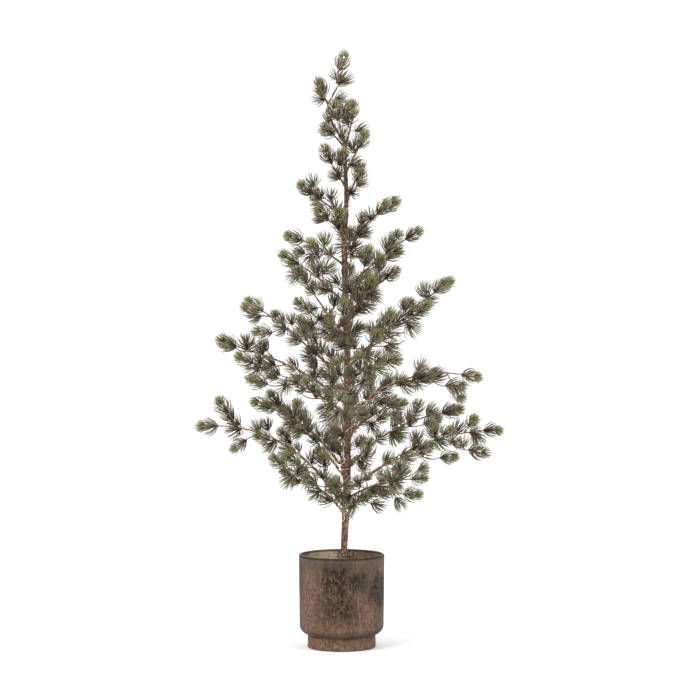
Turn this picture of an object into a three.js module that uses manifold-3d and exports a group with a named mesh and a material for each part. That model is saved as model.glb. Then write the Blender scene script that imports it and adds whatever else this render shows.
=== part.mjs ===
// An artificial fir of the sparse, wired kind, 1.2 m tall, standing in a glazed pot.
// Millimetres, +Z up. The origin is the centre of the pot's flat underside.
// Azimuths are in degrees: 0 is right (+X), 90 away (+Y), 180 left and 270 towards the viewer.

import * as THREE from 'three';
import { mergeVertices } from 'three/addons/utils/BufferGeometryUtils.js';
import Module from 'manifold-3d';

const wasm = await Module();
wasm.setup();

// Pot
const RIM_RADIUS = 86;
const POT_HEIGHT = 188;
const BODY_LOW_RADIUS = 85;
const BODY_BOTTOM = 26;
const BODY_CORNER = 20;
const FOOT_RADIUS = 68.6;
const FOOT_EDGE = 1.5;
const WALL = 5.5;
const POT_SEGMENTS = 28;

// Heights of the fill, the trunk and the boughs are measured from this level above the pot's underside
const LIFT = 4;

// Cast fill inside the pot
const FILL_TOP = 150;
const GAP = 0.3;

// Trunk: height, offset right, offset away. It leans right, sways back and ends in a hooked leader.
const TRUNK_LINE = [
  [150, 4.5, 0], [180, 4.5, 0], [250, 7.5, 1], [310, 11, 2], [450, 11.5, 0], [590, 11.5, -1],
  [640, 9, 0], [750, 6.5, 1], [815, 5.5, 0], [885, 9.5, -1], [960, 7.5, 0], [1012, 5.5, 0],
  [1034, -10, -2], [1055, -21, -3], [1080, -27, -2], [1100, -20, 0], [1125, -8.5, 1], [1150, -6.5, 0],
  [1180, 5, 0],
];

// Trunk's radius at each height
const TRUNK_RADII = [
  [150, 6.5], [250, 7.1], [320, 6.6], [600, 6.2], [815, 5.2], [890, 4.2], [1010, 3.2], [1045, 2.4],
  [1118, 1.9], [1180, 1.1],
];
const TRUNK_TOP = 1118;
const LEADER_FIRST = 8;
const LEADER_STEP = 20;
const LEADER_STATION = 14;
const LEADER_SEED = 239;
const TRUNK_RING_STEP = 28;
const TRUNK_SIDES = 7;

// Limbs and twigs
const LIMB_SIDES = 5;
const TWIG_SIDES = 3;
const TWIG_RADIUS = 1.1;
const FOOT_GROWTH = 0.0038;
const FOOT_BASE = 1.7;
const CURVE_PULL = 1.2;
const BEND_STEP = 58;
const SHORTEST = 8;

// Tufts of needles along the stems, and the sprig of a tuft with a young tip beyond it at each end
const STATION = 39;
const TWIG_STATION = 34;
const TUFT_LENGTH = 36;
const SPRIG_STEM = 30;
const SPRIG_ROOT = 6;
const SECTORS = 3;
const TWIG_LENGTH = 80;
const TWIG_SHARE = 0.55;

// What the rule draws, each as its least value and its spread: angles in degrees, sizes as shares
const TWIG_SPIN = [25, 140];
const TWIG_LEAN = [36, 26];
const TWIG_SCALE = [0.7, 0.7];
const TWIG_RISE = [0.1, 0.3];
const TUFT_SPIN = [15, 85];
const TUFT_LEAN = [32, 40];
const TUFT_SCALE = [0.86, 0.26];
const SPRIG_SCALE = [0.9, 0.2];
const STATION_DRIFT = [-5, 10];
const drawn = ([least, spread], share) => least + spread * share;

// The space rule: nothing grows nearer than this to a neighbour's limb or tuft
const CLEARANCE = 0.6;
const CROWDING = 0.35;
const TRIES = 6;
const SPIN_STEP = 55;

// Every bough: name, height of its foot, azimuth, reach, rise, slope at the foot, slope at the tip,
// share of its length that is bare limb (0 where the mass springs from the trunk), side twigs, seed
const BOUGHS = [
  ['left_1', 268, 187, 286, 176, 60, -2, 0.18, 5, 98],
  ['left_2', 262, 222, 184, 124, 46, 34, 0.12, 3, 82],
  ['left_3', 332, 196, 186, 160, 52, 20, 0.3, 3, 160],
  ['left_4', 485, 172, 254, 124, 40, 16, 0.22, 4, 238],
  ['left_5', 537, 190, 196, 150, 34, 28, 0.26, 4, 73],
  ['left_6', 595, 232, 155, 94, 45, 25, 0, 2, 10],
  ['left_7', 616, 128, 152, 130, 40, 45, 0, 2, 253],
  ['left_8', 688, 197, 124, 90, 40, 20, 0, 1, 146],
  ['left_9', 764, 170, 112, 56, 36, 12, 0, 1, 250],
  ['left_10', 820, 228, 72, 50, 45, 30, 0, 1, 128],
  ['left_11', 858, 184, 88, 66, 40, 42, 0, 1, 202],
  ['left_12', 920, 196, 44, 72, 56, 62, 0, 1, 179],
  ['left_13', 1000, 184, 42, 54, 44, 58, 0, 1, 256],
  ['left_14', 462, 194, 172, 84, 40, 12, 0, 3, 152],
  ['right_1', 311, 357, 302, 124, 36, 2, 0.2, 5, 193],
  ['right_2', 296, 320, 194, 50, 26, 4, 0.28, 2, 95],
  ['right_3', 279, 340, 150, 26, 38, -8, 0, 1, 230],
  ['right_4', 262, 304, 150, 74, 42, 8, 0, 2, 109],
  ['right_5', 357, 24, 240, 110, 44, 8, 0.24, 4, 33],
  ['right_6', 463, 352, 258, 78, 40, -14, 0.22, 4, 258],
  ['right_7', 523, 302, 172, 60, 36, 14, 0, 2, 155],
  ['right_8', 557, 8, 206, 170, 46, 32, 0.24, 3, 214],
  ['right_9', 572, 330, 152, 66, 30, 14, 0, 2, 140],
  ['right_10', 649, 318, 128, 104, 48, 30, 0, 2, 205],
  ['right_11', 714, 350, 146, 118, 46, 34, 0, 2, 204],
  ['right_12', 772, 70, 92, 66, 40, 30, 0, 1, 142],
  ['right_13', 798, 6, 98, 92, 50, 32, 0, 1, 171],
  ['right_14', 890, 318, 40, 84, 60, 66, 0, 1, 217],
  ['right_15', 950, 350, 38, 74, 60, 66, 0, 1, 94],
  ['right_16', 418, 321, 140, 74, 44, 16, 0, 2, 229],
  ['front_1', 270, 262, 160, 66, 42, 10, 0, 3, 60],
  ['front_2', 404, 259, 188, 104, 44, 14, 0, 3, 213],
  ['front_3', 450, 286, 180, 110, 44, 16, 0, 2, 252],
  ['front_4', 552, 272, 148, 110, 44, 20, 0, 2, 227],
  ['front_5', 655, 282, 112, 84, 44, 24, 0, 1, 252],
  ['back_1', 288, 97, 236, 130, 44, 8, 0.26, 4, 215],
  ['back_2', 344, 142, 216, 128, 46, 10, 0.26, 4, 85],
  ['back_3', 402, 66, 206, 118, 44, 10, 0.26, 3, 94],
  ['back_4', 470, 112, 188, 118, 44, 14, 0, 3, 179],
  ['back_5', 600, 84, 146, 106, 44, 20, 0, 2, 249],
];

// The crown's top: masses on the leader, given as the boughs are
const CROWN = [
  ['crown_right', 1004, 34, 20, 82, 66, 84, 0, 1, 139],
  ['crown_left', 996, 222, 18, 84, 66, 86, 0, 1, 142],
  ['crown_hook', 1086, 186, 15, 44, 55, 84, 0, 1, 247],
];

// Finishes
const FINISH = {
  bark: { color: 0x5f4536, roughness: 0.85, metalness: 0 },
  needles: { color: 0x545540, roughness: 0.7, metalness: 0 },
  glaze: { color: 0x5d4c40, roughness: 0.28, metalness: 0 },
  fill: { color: 0x5a4a3d, roughness: 0.95, metalness: 0 },
};

const radians = (degrees) => degrees * Math.PI / 180;
const UP = new THREE.Vector3(0, 0, 1);

// A repeatable run of numbers from 0 to 1
function seeded(seed) {
  const modulus = 2147483647;
  const multiplier = 48271;
  let state = seed * 7919 + 1;
  return () => {
    state = (state * multiplier) % modulus;
    return state / modulus;
  };
}

// Trunk's centre at a height, on a smooth curve through TRUNK_LINE
function trunkAt(height) {
  const last = TRUNK_LINE.length - 1;
  let i = 0;
  while (i < last - 1 && height > TRUNK_LINE[i + 1][0]) i += 1;
  const [from, to] = [TRUNK_LINE[i], TRUNK_LINE[i + 1]];
  const before = TRUNK_LINE[Math.max(i - 1, 0)];
  const after = TRUNK_LINE[Math.min(i + 2, last)];
  const span = to[0] - from[0];
  const t = (height - from[0]) / span;
  const blend = (k) => {
    const slopeFrom = (to[k] - before[k]) / (to[0] - before[0]) * span;
    const slopeTo = (after[k] - from[k]) / (after[0] - from[0]) * span;
    return hermite(from[k], slopeFrom, to[k], slopeTo, t);
  };
  return new THREE.Vector3(blend(1), blend(2), height + LIFT);
}

function hermite(start, startSlope, end, endSlope, t) {
  const t2 = t * t;
  const t3 = t2 * t;
  return (2 * t3 - 3 * t2 + 1) * start + (t3 - 2 * t2 + t) * startSlope
    + (3 * t2 - 2 * t3) * end + (t3 - t2) * endSlope;
}

function trunkRadius(height) {
  let i = 0;
  while (i < TRUNK_RADII.length - 2 && height > TRUNK_RADII[i + 1][0]) i += 1;
  const [from, to] = [TRUNK_RADII[i], TRUNK_RADII[i + 1]];
  return from[1] + (to[1] - from[1]) * (height - from[0]) / (to[0] - from[0]);
}

// Centre line of a bough, from the trunk's axis to its tip: it leaves steeply and flattens
function boughPath({ foot, azimuth, reach, rise, steep, flat }) {
  const start = trunkAt(foot);
  const heading = new THREE.Vector3(Math.cos(radians(azimuth)), Math.sin(radians(azimuth)), 0);
  const pull = Math.hypot(reach, rise) * CURVE_PULL;
  const steps = Math.max(2, Math.round(Math.hypot(reach, rise) / BEND_STEP));
  const points = [];
  for (let i = 0; i <= steps; i += 1) {
    const t = i / steps;
    const out = hermite(0, pull * Math.cos(radians(steep)), reach, pull * Math.cos(radians(flat)), t);
    const up = hermite(0, pull * Math.sin(radians(steep)), rise, pull * Math.sin(radians(flat)), t);
    points.push(start.clone().addScaledVector(heading, out).addScaledVector(UP, up));
  }
  return points;
}

// A polyline with its lengths, which gives the point and the direction at any distance along it
function measured(points) {
  const along = [0];
  for (let i = 1; i < points.length; i += 1) {
    along.push(along[i - 1] + points[i].distanceTo(points[i - 1]));
  }
  const length = along[along.length - 1];
  const place = (distance) => {
    let i = 1;
    while (i < points.length - 1 && along[i] < distance) i += 1;
    const share = (distance - along[i - 1]) / (along[i] - along[i - 1]);
    const point = points[i - 1].clone().lerp(points[i], share);
    const direction = points[i].clone().sub(points[i - 1]).normalize();
    return { point, direction };
  };
  return { length, along, place };
}

// Points of a line between two distances: both ends and the bends between them
function stretch(line, from, to) {
  const bends = line.along.filter((distance) => distance > from + SHORTEST && distance < to - SHORTEST);
  return [from, ...bends, to].map((distance) => line.place(distance).point);
}

// Direction at an angle to a stem: spin is measured round the stem from its upper side
function leaning(direction, spin, lean) {
  const side = new THREE.Vector3().crossVectors(direction, UP).normalize();
  const upper = new THREE.Vector3().crossVectors(side, direction).normalize();
  const outward = upper.multiplyScalar(Math.cos(radians(spin)))
    .addScaledVector(side, Math.sin(radians(spin)));
  return direction.clone().multiplyScalar(Math.cos(radians(lean)))
    .addScaledVector(outward, Math.sin(radians(lean))).normalize();
}

// The space rule. Each limb and tuft is kept as balls, and a new one is placed only where it is clear
// of every ball that belongs to another node.
const taken = [];

function isClear(balls, owner) {
  return balls.every((ball) => taken.every((other) => {
    const apart = other.at.distanceTo(ball.at) - other.radius - ball.radius;
    if (other.owner !== owner) return apart >= CLEARANCE;
    return !(ball.needles && other.needles) || apart >= -CROWDING * ball.radius;
  }));
}

function take(balls, owner) {
  balls.forEach((ball) => taken.push({ ...ball, owner }));
}

const BALL_STEP = 3;
const BALL_SWELL = 0.7;

function stemBalls(points, startRadius, endRadius) {
  const line = measured(points);
  const count = Math.ceil(line.length / BALL_STEP);
  return Array.from({ length: count + 1 }, (_, i) => ({
    at: line.place(line.length * i / count).point,
    radius: startRadius + (endRadius - startRadius) * i / count + BALL_SWELL,
  }));
}

function tuftBalls({ base, axis, size, kind }) {
  const ball = (along, radius) => ({ at: base.clone().addScaledVector(axis, along), radius, needles: true });
  const balls = [ball(0.68 * size, 0.59 * size), ball(0.17 * size, 0.16 * size)];
  return kind === 'sprig' ? [...balls, ball(1.1 * size, 0.42 * size)] : balls;
}

// Tufts at every station of a stem, on alternate sides of it
function growTufts(mass, line, first, station, random) {
  let side = random() < 0.5 ? 1 : -1;
  for (let s = first; s < line.length - SPRIG_STEM - station * 0.55; s += station) {
    const [a, b, c, d] = [random(), random(), random(), random()];
    const { point, direction } = line.place(s + drawn(STATION_DRIFT, d));
    side = -side;
    for (let attempt = 0; attempt < TRIES; attempt += 1) {
      const spin = side * drawn(TUFT_SPIN, b) + SPIN_STEP * attempt;
      const axis = leaning(direction, spin, drawn(TUFT_LEAN, c));
      const size = TUFT_LENGTH * drawn(TUFT_SCALE, a);
      if (growTuft(mass, { base: point, axis, size, kind: 'tuft' })) break;
    }
  }
}

function growTuft(mass, tuft) {
  const balls = tuftBalls(tuft);
  if (!isClear(balls, mass.name)) return false;
  mass.tufts.push(tuft);
  take(balls, mass.name);
  return true;
}

function growSprig(mass, line, random) {
  const [a, b, c] = [random(), random(), random()];
  const { point, direction } = line.place(Math.max(line.length - SPRIG_STEM, 4));
  const size = TUFT_LENGTH * drawn(SPRIG_SCALE, c);
  const axis = leaning(direction, 360 * a, 8 * b);
  return growTuft(mass, { base: point, axis, size, kind: 'sprig' })
    || growTuft(mass, { base: point, axis, size: size * 0.75, kind: 'tuft' });
}

// A side twig that leaves its stem at an angle and bends on towards the light
function growTwig(mass, line, distance, twigLength, side, random) {
  const { name, stems } = mass;
  const [a, b, c] = [random(), random(), random()];
  const { point, direction } = line.place(distance);
  for (let attempt = 0; attempt < TRIES; attempt += 1) {
    const spin = side * drawn(TWIG_SPIN, a) + SPIN_STEP * attempt;
    const first = leaning(direction, spin, drawn(TWIG_LEAN, b));
    const second = first.clone().addScaledVector(direction, 0.5)
      .addScaledVector(UP, drawn(TWIG_RISE, c)).normalize();
    const knee = point.clone().addScaledVector(first, twigLength * 0.5);
    const twig = measured([point, knee, knee.clone().addScaledVector(second, twigLength * 0.5)]);
    const points = stretch(twig, 0, twig.length - SPRIG_STEM + SPRIG_ROOT);
    const balls = stemBalls(points, TWIG_RADIUS, TWIG_RADIUS);
    if (isClear(balls, name)) {
      stems.push({ points, startRadius: TWIG_RADIUS, endRadius: TWIG_RADIUS, sides: TWIG_SIDES });
      take(balls, name);
      growSprig(mass, twig, random);
      growTufts(mass, twig, TWIG_STATION * 0.7, TWIG_STATION, random);
      return;
    }
  }
}

// Limbs first, so that every mass grows clear of all of them
function readRow([name, foot, azimuth, reach, rise, steep, flat, bare, twigs, seed]) {
  const line = measured(boughPath({ foot, azimuth, reach, rise, steep, flat }));
  const footRadius = FOOT_BASE + FOOT_GROWTH * line.length;
  const radiusAt = (distance) => footRadius + (TWIG_RADIUS * 0.8 - footRadius) * distance / line.length;
  const split = bare * line.length;
  const mass = { name: `foliage_${name}`, tufts: [], stems: [] };
  const limb = { name: `bough_${name}` };
  const first = Math.max(split + STATION * 0.5, Math.min(STATION * 0.9, line.length * 0.25));
  return { line, radiusAt, split, first, station: STATION, twigs, seed, mass, limb };
}

// The crown's top mass goes on from the trunk's end along the same leader
function leaderRow() {
  const end = TRUNK_LINE.at(-1)[0];
  const count = Math.round((end - TRUNK_TOP) / LEADER_STEP);
  const shares = Array.from({ length: count + 1 }, (_, i) => i / count);
  const line = measured(shares.map((share) => trunkAt(TRUNK_TOP + GAP + (end - TRUNK_TOP) * share)));
  const mass = { name: 'foliage_crown_top', tufts: [], stems: [] };
  const radiusAt = (distance) => trunkRadius(TRUNK_TOP + distance);
  const [first, station, seed] = [LEADER_FIRST, LEADER_STATION, LEADER_SEED];
  return { line, radiusAt, split: 0, first, station, twigs: 0, seed, mass, limb: {} };
}

const rows = [...[...BOUGHS, ...CROWN].map(readRow), leaderRow()];

for (let height = FILL_TOP; height <= TRUNK_TOP; height += BALL_STEP) {
  take([{ at: trunkAt(height), radius: trunkRadius(height) + BALL_SWELL }], 'trunk');
}

rows.forEach(({ line, radiusAt, split, mass, limb }) => {
  if (split > 0) {
    const end = split - GAP;
    limb.points = stretch(line, 0, end);
    limb.startRadius = radiusAt(0);
    limb.endRadius = radiusAt(end);
    take(stemBalls(limb.points, limb.startRadius, limb.endRadius), limb.name);
  }
  const end = line.length - SPRIG_STEM + SPRIG_ROOT;
  const points = stretch(line, split, end);
  const stem = { points, startRadius: radiusAt(split), endRadius: radiusAt(end), sides: TWIG_SIDES };
  mass.stems.push(stem);
  take(stemBalls(points, stem.startRadius, stem.endRadius), mass.name);
});

rows.forEach(({ line, first, station, twigs, seed, mass }) => {
  const random = seeded(seed);
  growSprig(mass, line, random);
  let side = random() < 0.5 ? 1 : -1;
  const longest = Math.min(TWIG_LENGTH, TWIG_SHARE * line.length);
  for (let k = 0; k < twigs; k += 1) {
    const share = (k + 0.35 + 0.4 * random()) / (twigs + 0.4);
    const distance = first + (line.length - SPRIG_STEM - first) * share;
    const length = longest * drawn(TWIG_SCALE, random()) * (1.1 - 0.3 * share);
    growTwig(mass, line, distance, Math.max(length, SPRIG_STEM), side, random);
    side = -side;
  }
  growTufts(mass, line, first, station, random);
});

// Closed solids

function bare(geometry) {
  geometry.deleteAttribute('normal');
  geometry.deleteAttribute('uv');
  return mergeVertices(geometry, 1e-4);
}

// A cylinder bent along a line of points, tapering from ring to ring
function bentTube(points, radii, sides) {
  const steps = points.length - 1;
  const tube = bare(new THREE.CylinderGeometry(1, 1, 1, sides, steps));
  const frames = [];
  let normal = new THREE.Vector3(1, 0, 0);
  for (let i = 0; i <= steps; i += 1) {
    const tangent = points[Math.min(i + 1, steps)].clone().sub(points[Math.max(i - 1, 0)]).normalize();
    if (i === 0 && Math.abs(tangent.x) > 0.9) normal = UP.clone();
    normal = normal.clone().addScaledVector(tangent, -normal.dot(tangent)).normalize();
    frames.push({ normal, binormal: new THREE.Vector3().crossVectors(normal, tangent) });
  }
  const position = tube.getAttribute('position');
  for (let v = 0; v < position.count; v += 1) {
    const ring = Math.round((position.getY(v) + 0.5) * steps);
    const { normal: n, binormal: b } = frames[ring];
    const at = points[ring].clone()
      .addScaledVector(n, position.getX(v) * radii[ring])
      .addScaledVector(b, position.getZ(v) * radii[ring]);
    position.setXYZ(v, at.x, at.y, at.z);
  }
  return tube;
}

function taperedTube({ points, startRadius, endRadius, sides }) {
  const radii = points.map((_, i) => startRadius + (endRadius - startRadius) * i / (points.length - 1));
  return bentTube(points, radii, sides);
}

// A tuft or sprig, as shares of its tuft's length: [out, up] of each ring of its slim core, the height of
// its top, and [out, up] of the spikes on its lower and upper cones
const CORE = { tuft: [[0.2, 0.42]], sprig: [[0.2, 0.42], [0.14, 0.92]] };
const CORE_TOP = { tuft: 0.62, sprig: 1.08 };
const ROOT = -0.015;
const SPREAD = [0.5, 0.76];
const UPRIGHT = { tuft: [0.27, 0.98], sprig: [0.29, 1.32] };

// A tuft is a slim core with a spike on every face of its lower and upper cones
function tuftSolid({ base, axis, size, kind }, random) {
  const aside = Math.abs(axis.z) < 0.9 ? UP : new THREE.Vector3(1, 0, 0);
  const across = new THREE.Vector3().crossVectors(axis, aside).normalize();
  const other = new THREE.Vector3().crossVectors(axis, across);
  const turn = random() * 360;
  const at = (angle, out, up) => base.clone()
    .addScaledVector(across, Math.cos(radians(angle)) * out * size)
    .addScaledVector(other, Math.sin(radians(angle)) * out * size)
    .addScaledVector(axis, up * size);
  const step = 360 / SECTORS;
  const vertices = [at(0, 0, ROOT), at(0, 0, CORE_TOP[kind])];
  CORE[kind].forEach(([out, up]) => {
    for (let k = 0; k < SECTORS; k += 1) vertices.push(at(turn + k * step, out, up));
  });
  const faces = [];
  const spike = (p, q, r, angle, [out, up]) => {
    const tip = vertices.push(at(angle, out * (0.85 + 0.3 * random()), up * (0.93 + 0.11 * random()))) - 1;
    faces.push(p, q, tip, q, r, tip, r, p, tip);
  };
  const upperRing = 2 + SECTORS * (CORE[kind].length - 1);
  for (let k = 0; k < SECTORS; k += 1) {
    const next = (k + 1) % SECTORS;
    const middle = turn + (k + 0.5) * step;
    const sway = (random() - 0.5) * step * 0.5;
    const [wide, wideNext] = [2 + k, 2 + next];
    spike(0, wideNext, wide, middle + sway, SPREAD);
    spike(1, upperRing + k, upperRing + next, middle - sway, UPRIGHT[kind]);
    if (kind === 'sprig') {
      faces.push(wide, wideNext, upperRing + next, wide, upperRing + next, upperRing + k);
    }
  }
  const geometry = new THREE.BufferGeometry();
  const numbers = vertices.flatMap((v) => v.toArray());
  geometry.setAttribute('position', new THREE.Float32BufferAttribute(numbers, 3));
  geometry.setIndex(faces);
  return geometry;
}

function solidOf(geometry) {
  return new wasm.Manifold(new wasm.Mesh({
    numProp: 3,
    vertProperties: new Float32Array(geometry.getAttribute('position').array),
    triVerts: new Uint32Array(geometry.getIndex().array),
  }));
}

// Only the largest piece is kept, so that a cut leaves no scrap
function largest(solid) {
  return solid.decompose().sort((a, b) => b.volume() - a.volume())[0];
}

function geometryOf(solid) {
  const mesh = solid.getMesh();
  const geometry = new THREE.BufferGeometry();
  geometry.setAttribute('position', new THREE.Float32BufferAttribute(mesh.vertProperties, 3));
  geometry.setIndex(Array.from(mesh.triVerts));
  return geometry;
}

function part(name, geometry, finish) {
  geometry.computeVertexNormals();
  const mesh = new THREE.Mesh(geometry, new THREE.MeshStandardMaterial(FINISH[finish]));
  mesh.name = name;
  return mesh;
}

function arc(centreX, centreY, radius, from, to, count) {
  return Array.from({ length: count + 1 }, (_, i) => {
    const angle = radians(from + (to - from) * i / count);
    return new THREE.Vector2(centreX + radius * Math.cos(angle), centreY + radius * Math.sin(angle));
  });
}

function potGeometry() {
  const corner = BODY_LOW_RADIUS - BODY_CORNER;
  const innerCorner = BODY_CORNER - WALL;
  const lip = WALL / 2;
  const profile = [
    new THREE.Vector2(0, 0),
    new THREE.Vector2(FOOT_RADIUS - FOOT_EDGE, 0),
    new THREE.Vector2(FOOT_RADIUS, FOOT_EDGE),
    new THREE.Vector2(FOOT_RADIUS, BODY_BOTTOM),
    ...arc(corner + 1, BODY_BOTTOM + BODY_CORNER, BODY_CORNER, -78, 0, 4),
    ...arc(RIM_RADIUS - lip, POT_HEIGHT - lip, lip, 0, 180, 4),
    ...arc(corner, BODY_BOTTOM + BODY_CORNER, innerCorner, 0, -90, 3),
    new THREE.Vector2(0, BODY_BOTTOM + WALL),
  ];
  return bare(new THREE.LatheGeometry(profile, POT_SEGMENTS)).rotateX(Math.PI / 2);
}

function fillGeometry() {
  const corner = BODY_LOW_RADIUS - BODY_CORNER;
  const innerCorner = BODY_CORNER - WALL - GAP;
  const profile = [
    new THREE.Vector2(0, BODY_BOTTOM + WALL + GAP),
    ...arc(corner, BODY_BOTTOM + BODY_CORNER, innerCorner, -90, 0, 3),
    new THREE.Vector2(corner + innerCorner, FILL_TOP + LIFT - GAP),
    new THREE.Vector2(0, FILL_TOP + LIFT - GAP),
  ];
  return bare(new THREE.LatheGeometry(profile, POT_SEGMENTS)).rotateX(Math.PI / 2);
}

function trunkGeometry(extra) {
  const bottom = FILL_TOP;
  const height = TRUNK_TOP;
  const rings = Math.round((height - bottom) / TRUNK_RING_STEP);
  const heights = Array.from({ length: rings + 1 }, (_, i) => bottom + (height - bottom) * i / rings);
  return bentTube(heights.map(trunkAt), heights.map((h) => trunkRadius(h) + extra), TRUNK_SIDES);
}

function massSolid({ stems, tufts }, seed) {
  const random = seeded(seed + 500);
  const main = solidOf(taperedTube(stems[0])).subtract(trunkRoom);
  const rest = [...stems.slice(1).map(taperedTube), ...tufts.map((tuft) => tuftSolid(tuft, random))];
  return largest(rest.reduce((whole, geometry) => whole.add(solidOf(geometry)), main));
}

const trunkRoom = solidOf(trunkGeometry(GAP));

const tree = new THREE.Group();
tree.add(part('pot', potGeometry(), 'glaze'));
tree.add(part('pot_fill', fillGeometry(), 'fill'));
tree.add(part('trunk', trunkGeometry(0), 'bark'));
rows.forEach(({ split, seed, mass, limb }) => {
  if (split > 0) {
    const solid = solidOf(taperedTube({ ...limb, sides: LIMB_SIDES })).subtract(trunkRoom);
    tree.add(part(limb.name, geometryOf(largest(solid)), 'bark'));
  }
  tree.add(part(mass.name, geometryOf(massSolid(mass, seed)), 'needles'));
});

export default tree;
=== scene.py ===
# An artificial fir with micro lights, 1.2 m tall, standing in a glazed pot.
# The growing rule and the named sizes are in millimetres; finished pieces are in metres.
# Azimuths are in degrees: 0 is right (+X), 90 away (+Y), 180 left and 270 towards the viewer.

import math

import bpy
import numpy as np
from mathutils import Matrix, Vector


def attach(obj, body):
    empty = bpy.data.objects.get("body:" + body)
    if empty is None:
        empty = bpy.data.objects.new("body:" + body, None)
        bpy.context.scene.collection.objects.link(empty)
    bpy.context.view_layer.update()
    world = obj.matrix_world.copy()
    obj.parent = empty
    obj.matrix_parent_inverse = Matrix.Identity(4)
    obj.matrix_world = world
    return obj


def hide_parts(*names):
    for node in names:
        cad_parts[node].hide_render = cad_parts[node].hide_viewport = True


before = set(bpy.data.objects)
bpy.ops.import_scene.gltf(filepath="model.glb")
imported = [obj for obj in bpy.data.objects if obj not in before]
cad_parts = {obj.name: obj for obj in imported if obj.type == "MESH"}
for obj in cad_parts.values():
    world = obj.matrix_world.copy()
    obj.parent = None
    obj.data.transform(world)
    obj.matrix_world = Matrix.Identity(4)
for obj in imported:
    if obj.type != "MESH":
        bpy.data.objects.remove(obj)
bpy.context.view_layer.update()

# Pot
RIM_RADIUS = 86
POT_HEIGHT = 188
BODY_LOW_RADIUS = 85
BODY_BOTTOM = 26
BODY_CORNER = 20
FOOT_RADIUS = 68.6
FOOT_ROUND = 2.2
NECK_RADIUS = 67.2
WALL = 5.5
INNER_RADII = (40, 20)
GAP = 0.3

# Heights of the fill, the trunk and the boughs are measured from this level above the pot's underside
LIFT = 4
FILL_TOP = 150
POT_SIDES = 120
FILL_SIDES = 90
FILL_RINGS = 16

# Trunk: height, offset right, offset away; then height and radius
TRUNK_LINE = [
    (150, 4.5, 0), (180, 4.5, 0), (250, 7.5, 1), (310, 11, 2), (450, 11.5, 0), (590, 11.5, -1), (640, 9, 0),
    (750, 6.5, 1), (815, 5.5, 0), (885, 9.5, -1), (960, 7.5, 0), (1012, 5.5, 0), (1034, -10, -2),
    (1055, -21, -3), (1080, -27, -2), (1100, -20, 0), (1125, -8.5, 1), (1150, -6.5, 0), (1180, 5, 0),
]
TRUNK_RADII = [
    (150, 6.5), (250, 7.1), (320, 6.6), (600, 6.2), (815, 5.2), (890, 4.2), (1010, 3.2), (1045, 2.4),
    (1118, 1.9), (1180, 1.1),
]
TRUNK_TOP = 1118
LEADER_FIRST = 8
LEADER_STEP = 20
LEADER_STATION = 14
LEADER_SEED = 239
LEADER_SMOOTH = 20

# Limbs, twigs and tufts, as in the part
TWIG_RADIUS = 1.1
FOOT_GROWTH = 0.0038
FOOT_BASE = 1.7
CURVE_PULL = 1.2
BEND_STEP = 58
SHORTEST = 8
STATION = 39
TWIG_STATION = 34
TUFT_LENGTH = 36
SPRIG_STEM = 30
SPRIG_ROOT = 6
TWIG_LENGTH = 80
TWIG_SHARE = 0.55
TIP_SHARE = 0.8
SMOOTH_STEPS = 40

# Shares of the station: the room kept before a sprig, and the place of a twig's first tuft
SPRIG_ROOM = 0.55
TWIG_FIRST = 0.7

# Where twigs stand: the share of its part of the limb that is left before each one, the spread of chance, and
# how their length falls along the limb
TWIG_LEFT = 0.35
TWIG_CHANCE = 0.4
TWIG_FALL = (1.1, -0.3)

# Share of its size that a sprig keeps where it is crowded, and its least distance along its stem
CROWDED_SIZE = 0.75
SPRIG_LEAST = 4

# What the rule draws, each as its least value and its spread: angles in degrees, sizes as shares
TWIG_SPIN = (25, 140)
TWIG_LEAN = (36, 26)
TWIG_SCALE = (0.7, 0.7)
TWIG_RISE = (0.1, 0.3)
TUFT_SPIN = (15, 85)
TUFT_LEAN = (32, 40)
TUFT_SCALE = (0.86, 0.26)
SPRIG_SCALE = (0.9, 0.2)
SPRIG_LEAN = (0, 8)
STATION_DRIFT = (-5, 10)

# Finer twigs, each with a small tuft at its end
FINE_STATION = 58
SHORT_STEM = 118
SHORT_STATION = 14
SHORT_END = 0.45
BARE_SHARE = 0.45
LEADER_BARE = 1066
FINE_LENGTH = 22
FINE_TUFT = 31
FINE_CROWDING = 0.7
FINE_START = 0.6
FINE_SEED = 400
FINE_SPIN = (30, 130)
FINE_LEAN = (38, 34)
FINE_REACH = (0.15, 0.85)
FINE_RISE = (-0.15, 0.5)
FINE_SCALE = (0.85, 0.35)
FINE_DRIFT = (0.8, 0.4)

# Radii at the foot and the tip, as shares of a twig's: as kept clear, and as made
FINE_CLEAR = (0.7, 0.6)
FINE_TAPER = (0.8, 0.6)
TWIG_TAPER = (1.15, 0.85)
CORE_TAPER = (0.9, 0.6)

# The space rule. A tuft is kept as balls: how far up its axis, and radius, as shares of its size
TUFT_BALLS = [(0.68, 0.59), (0.17, 0.16)]
SPRIG_BALL = (1.1, 0.42)
MOST_BALLS = 20000
LARGEST_BALL = 20
CLEARANCE = 0.6
CROWDING = 0.35
TRIES = 6
SPIN_STEP = 55
BALL_STEP = 3
BALL_SWELL = 0.7

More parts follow.
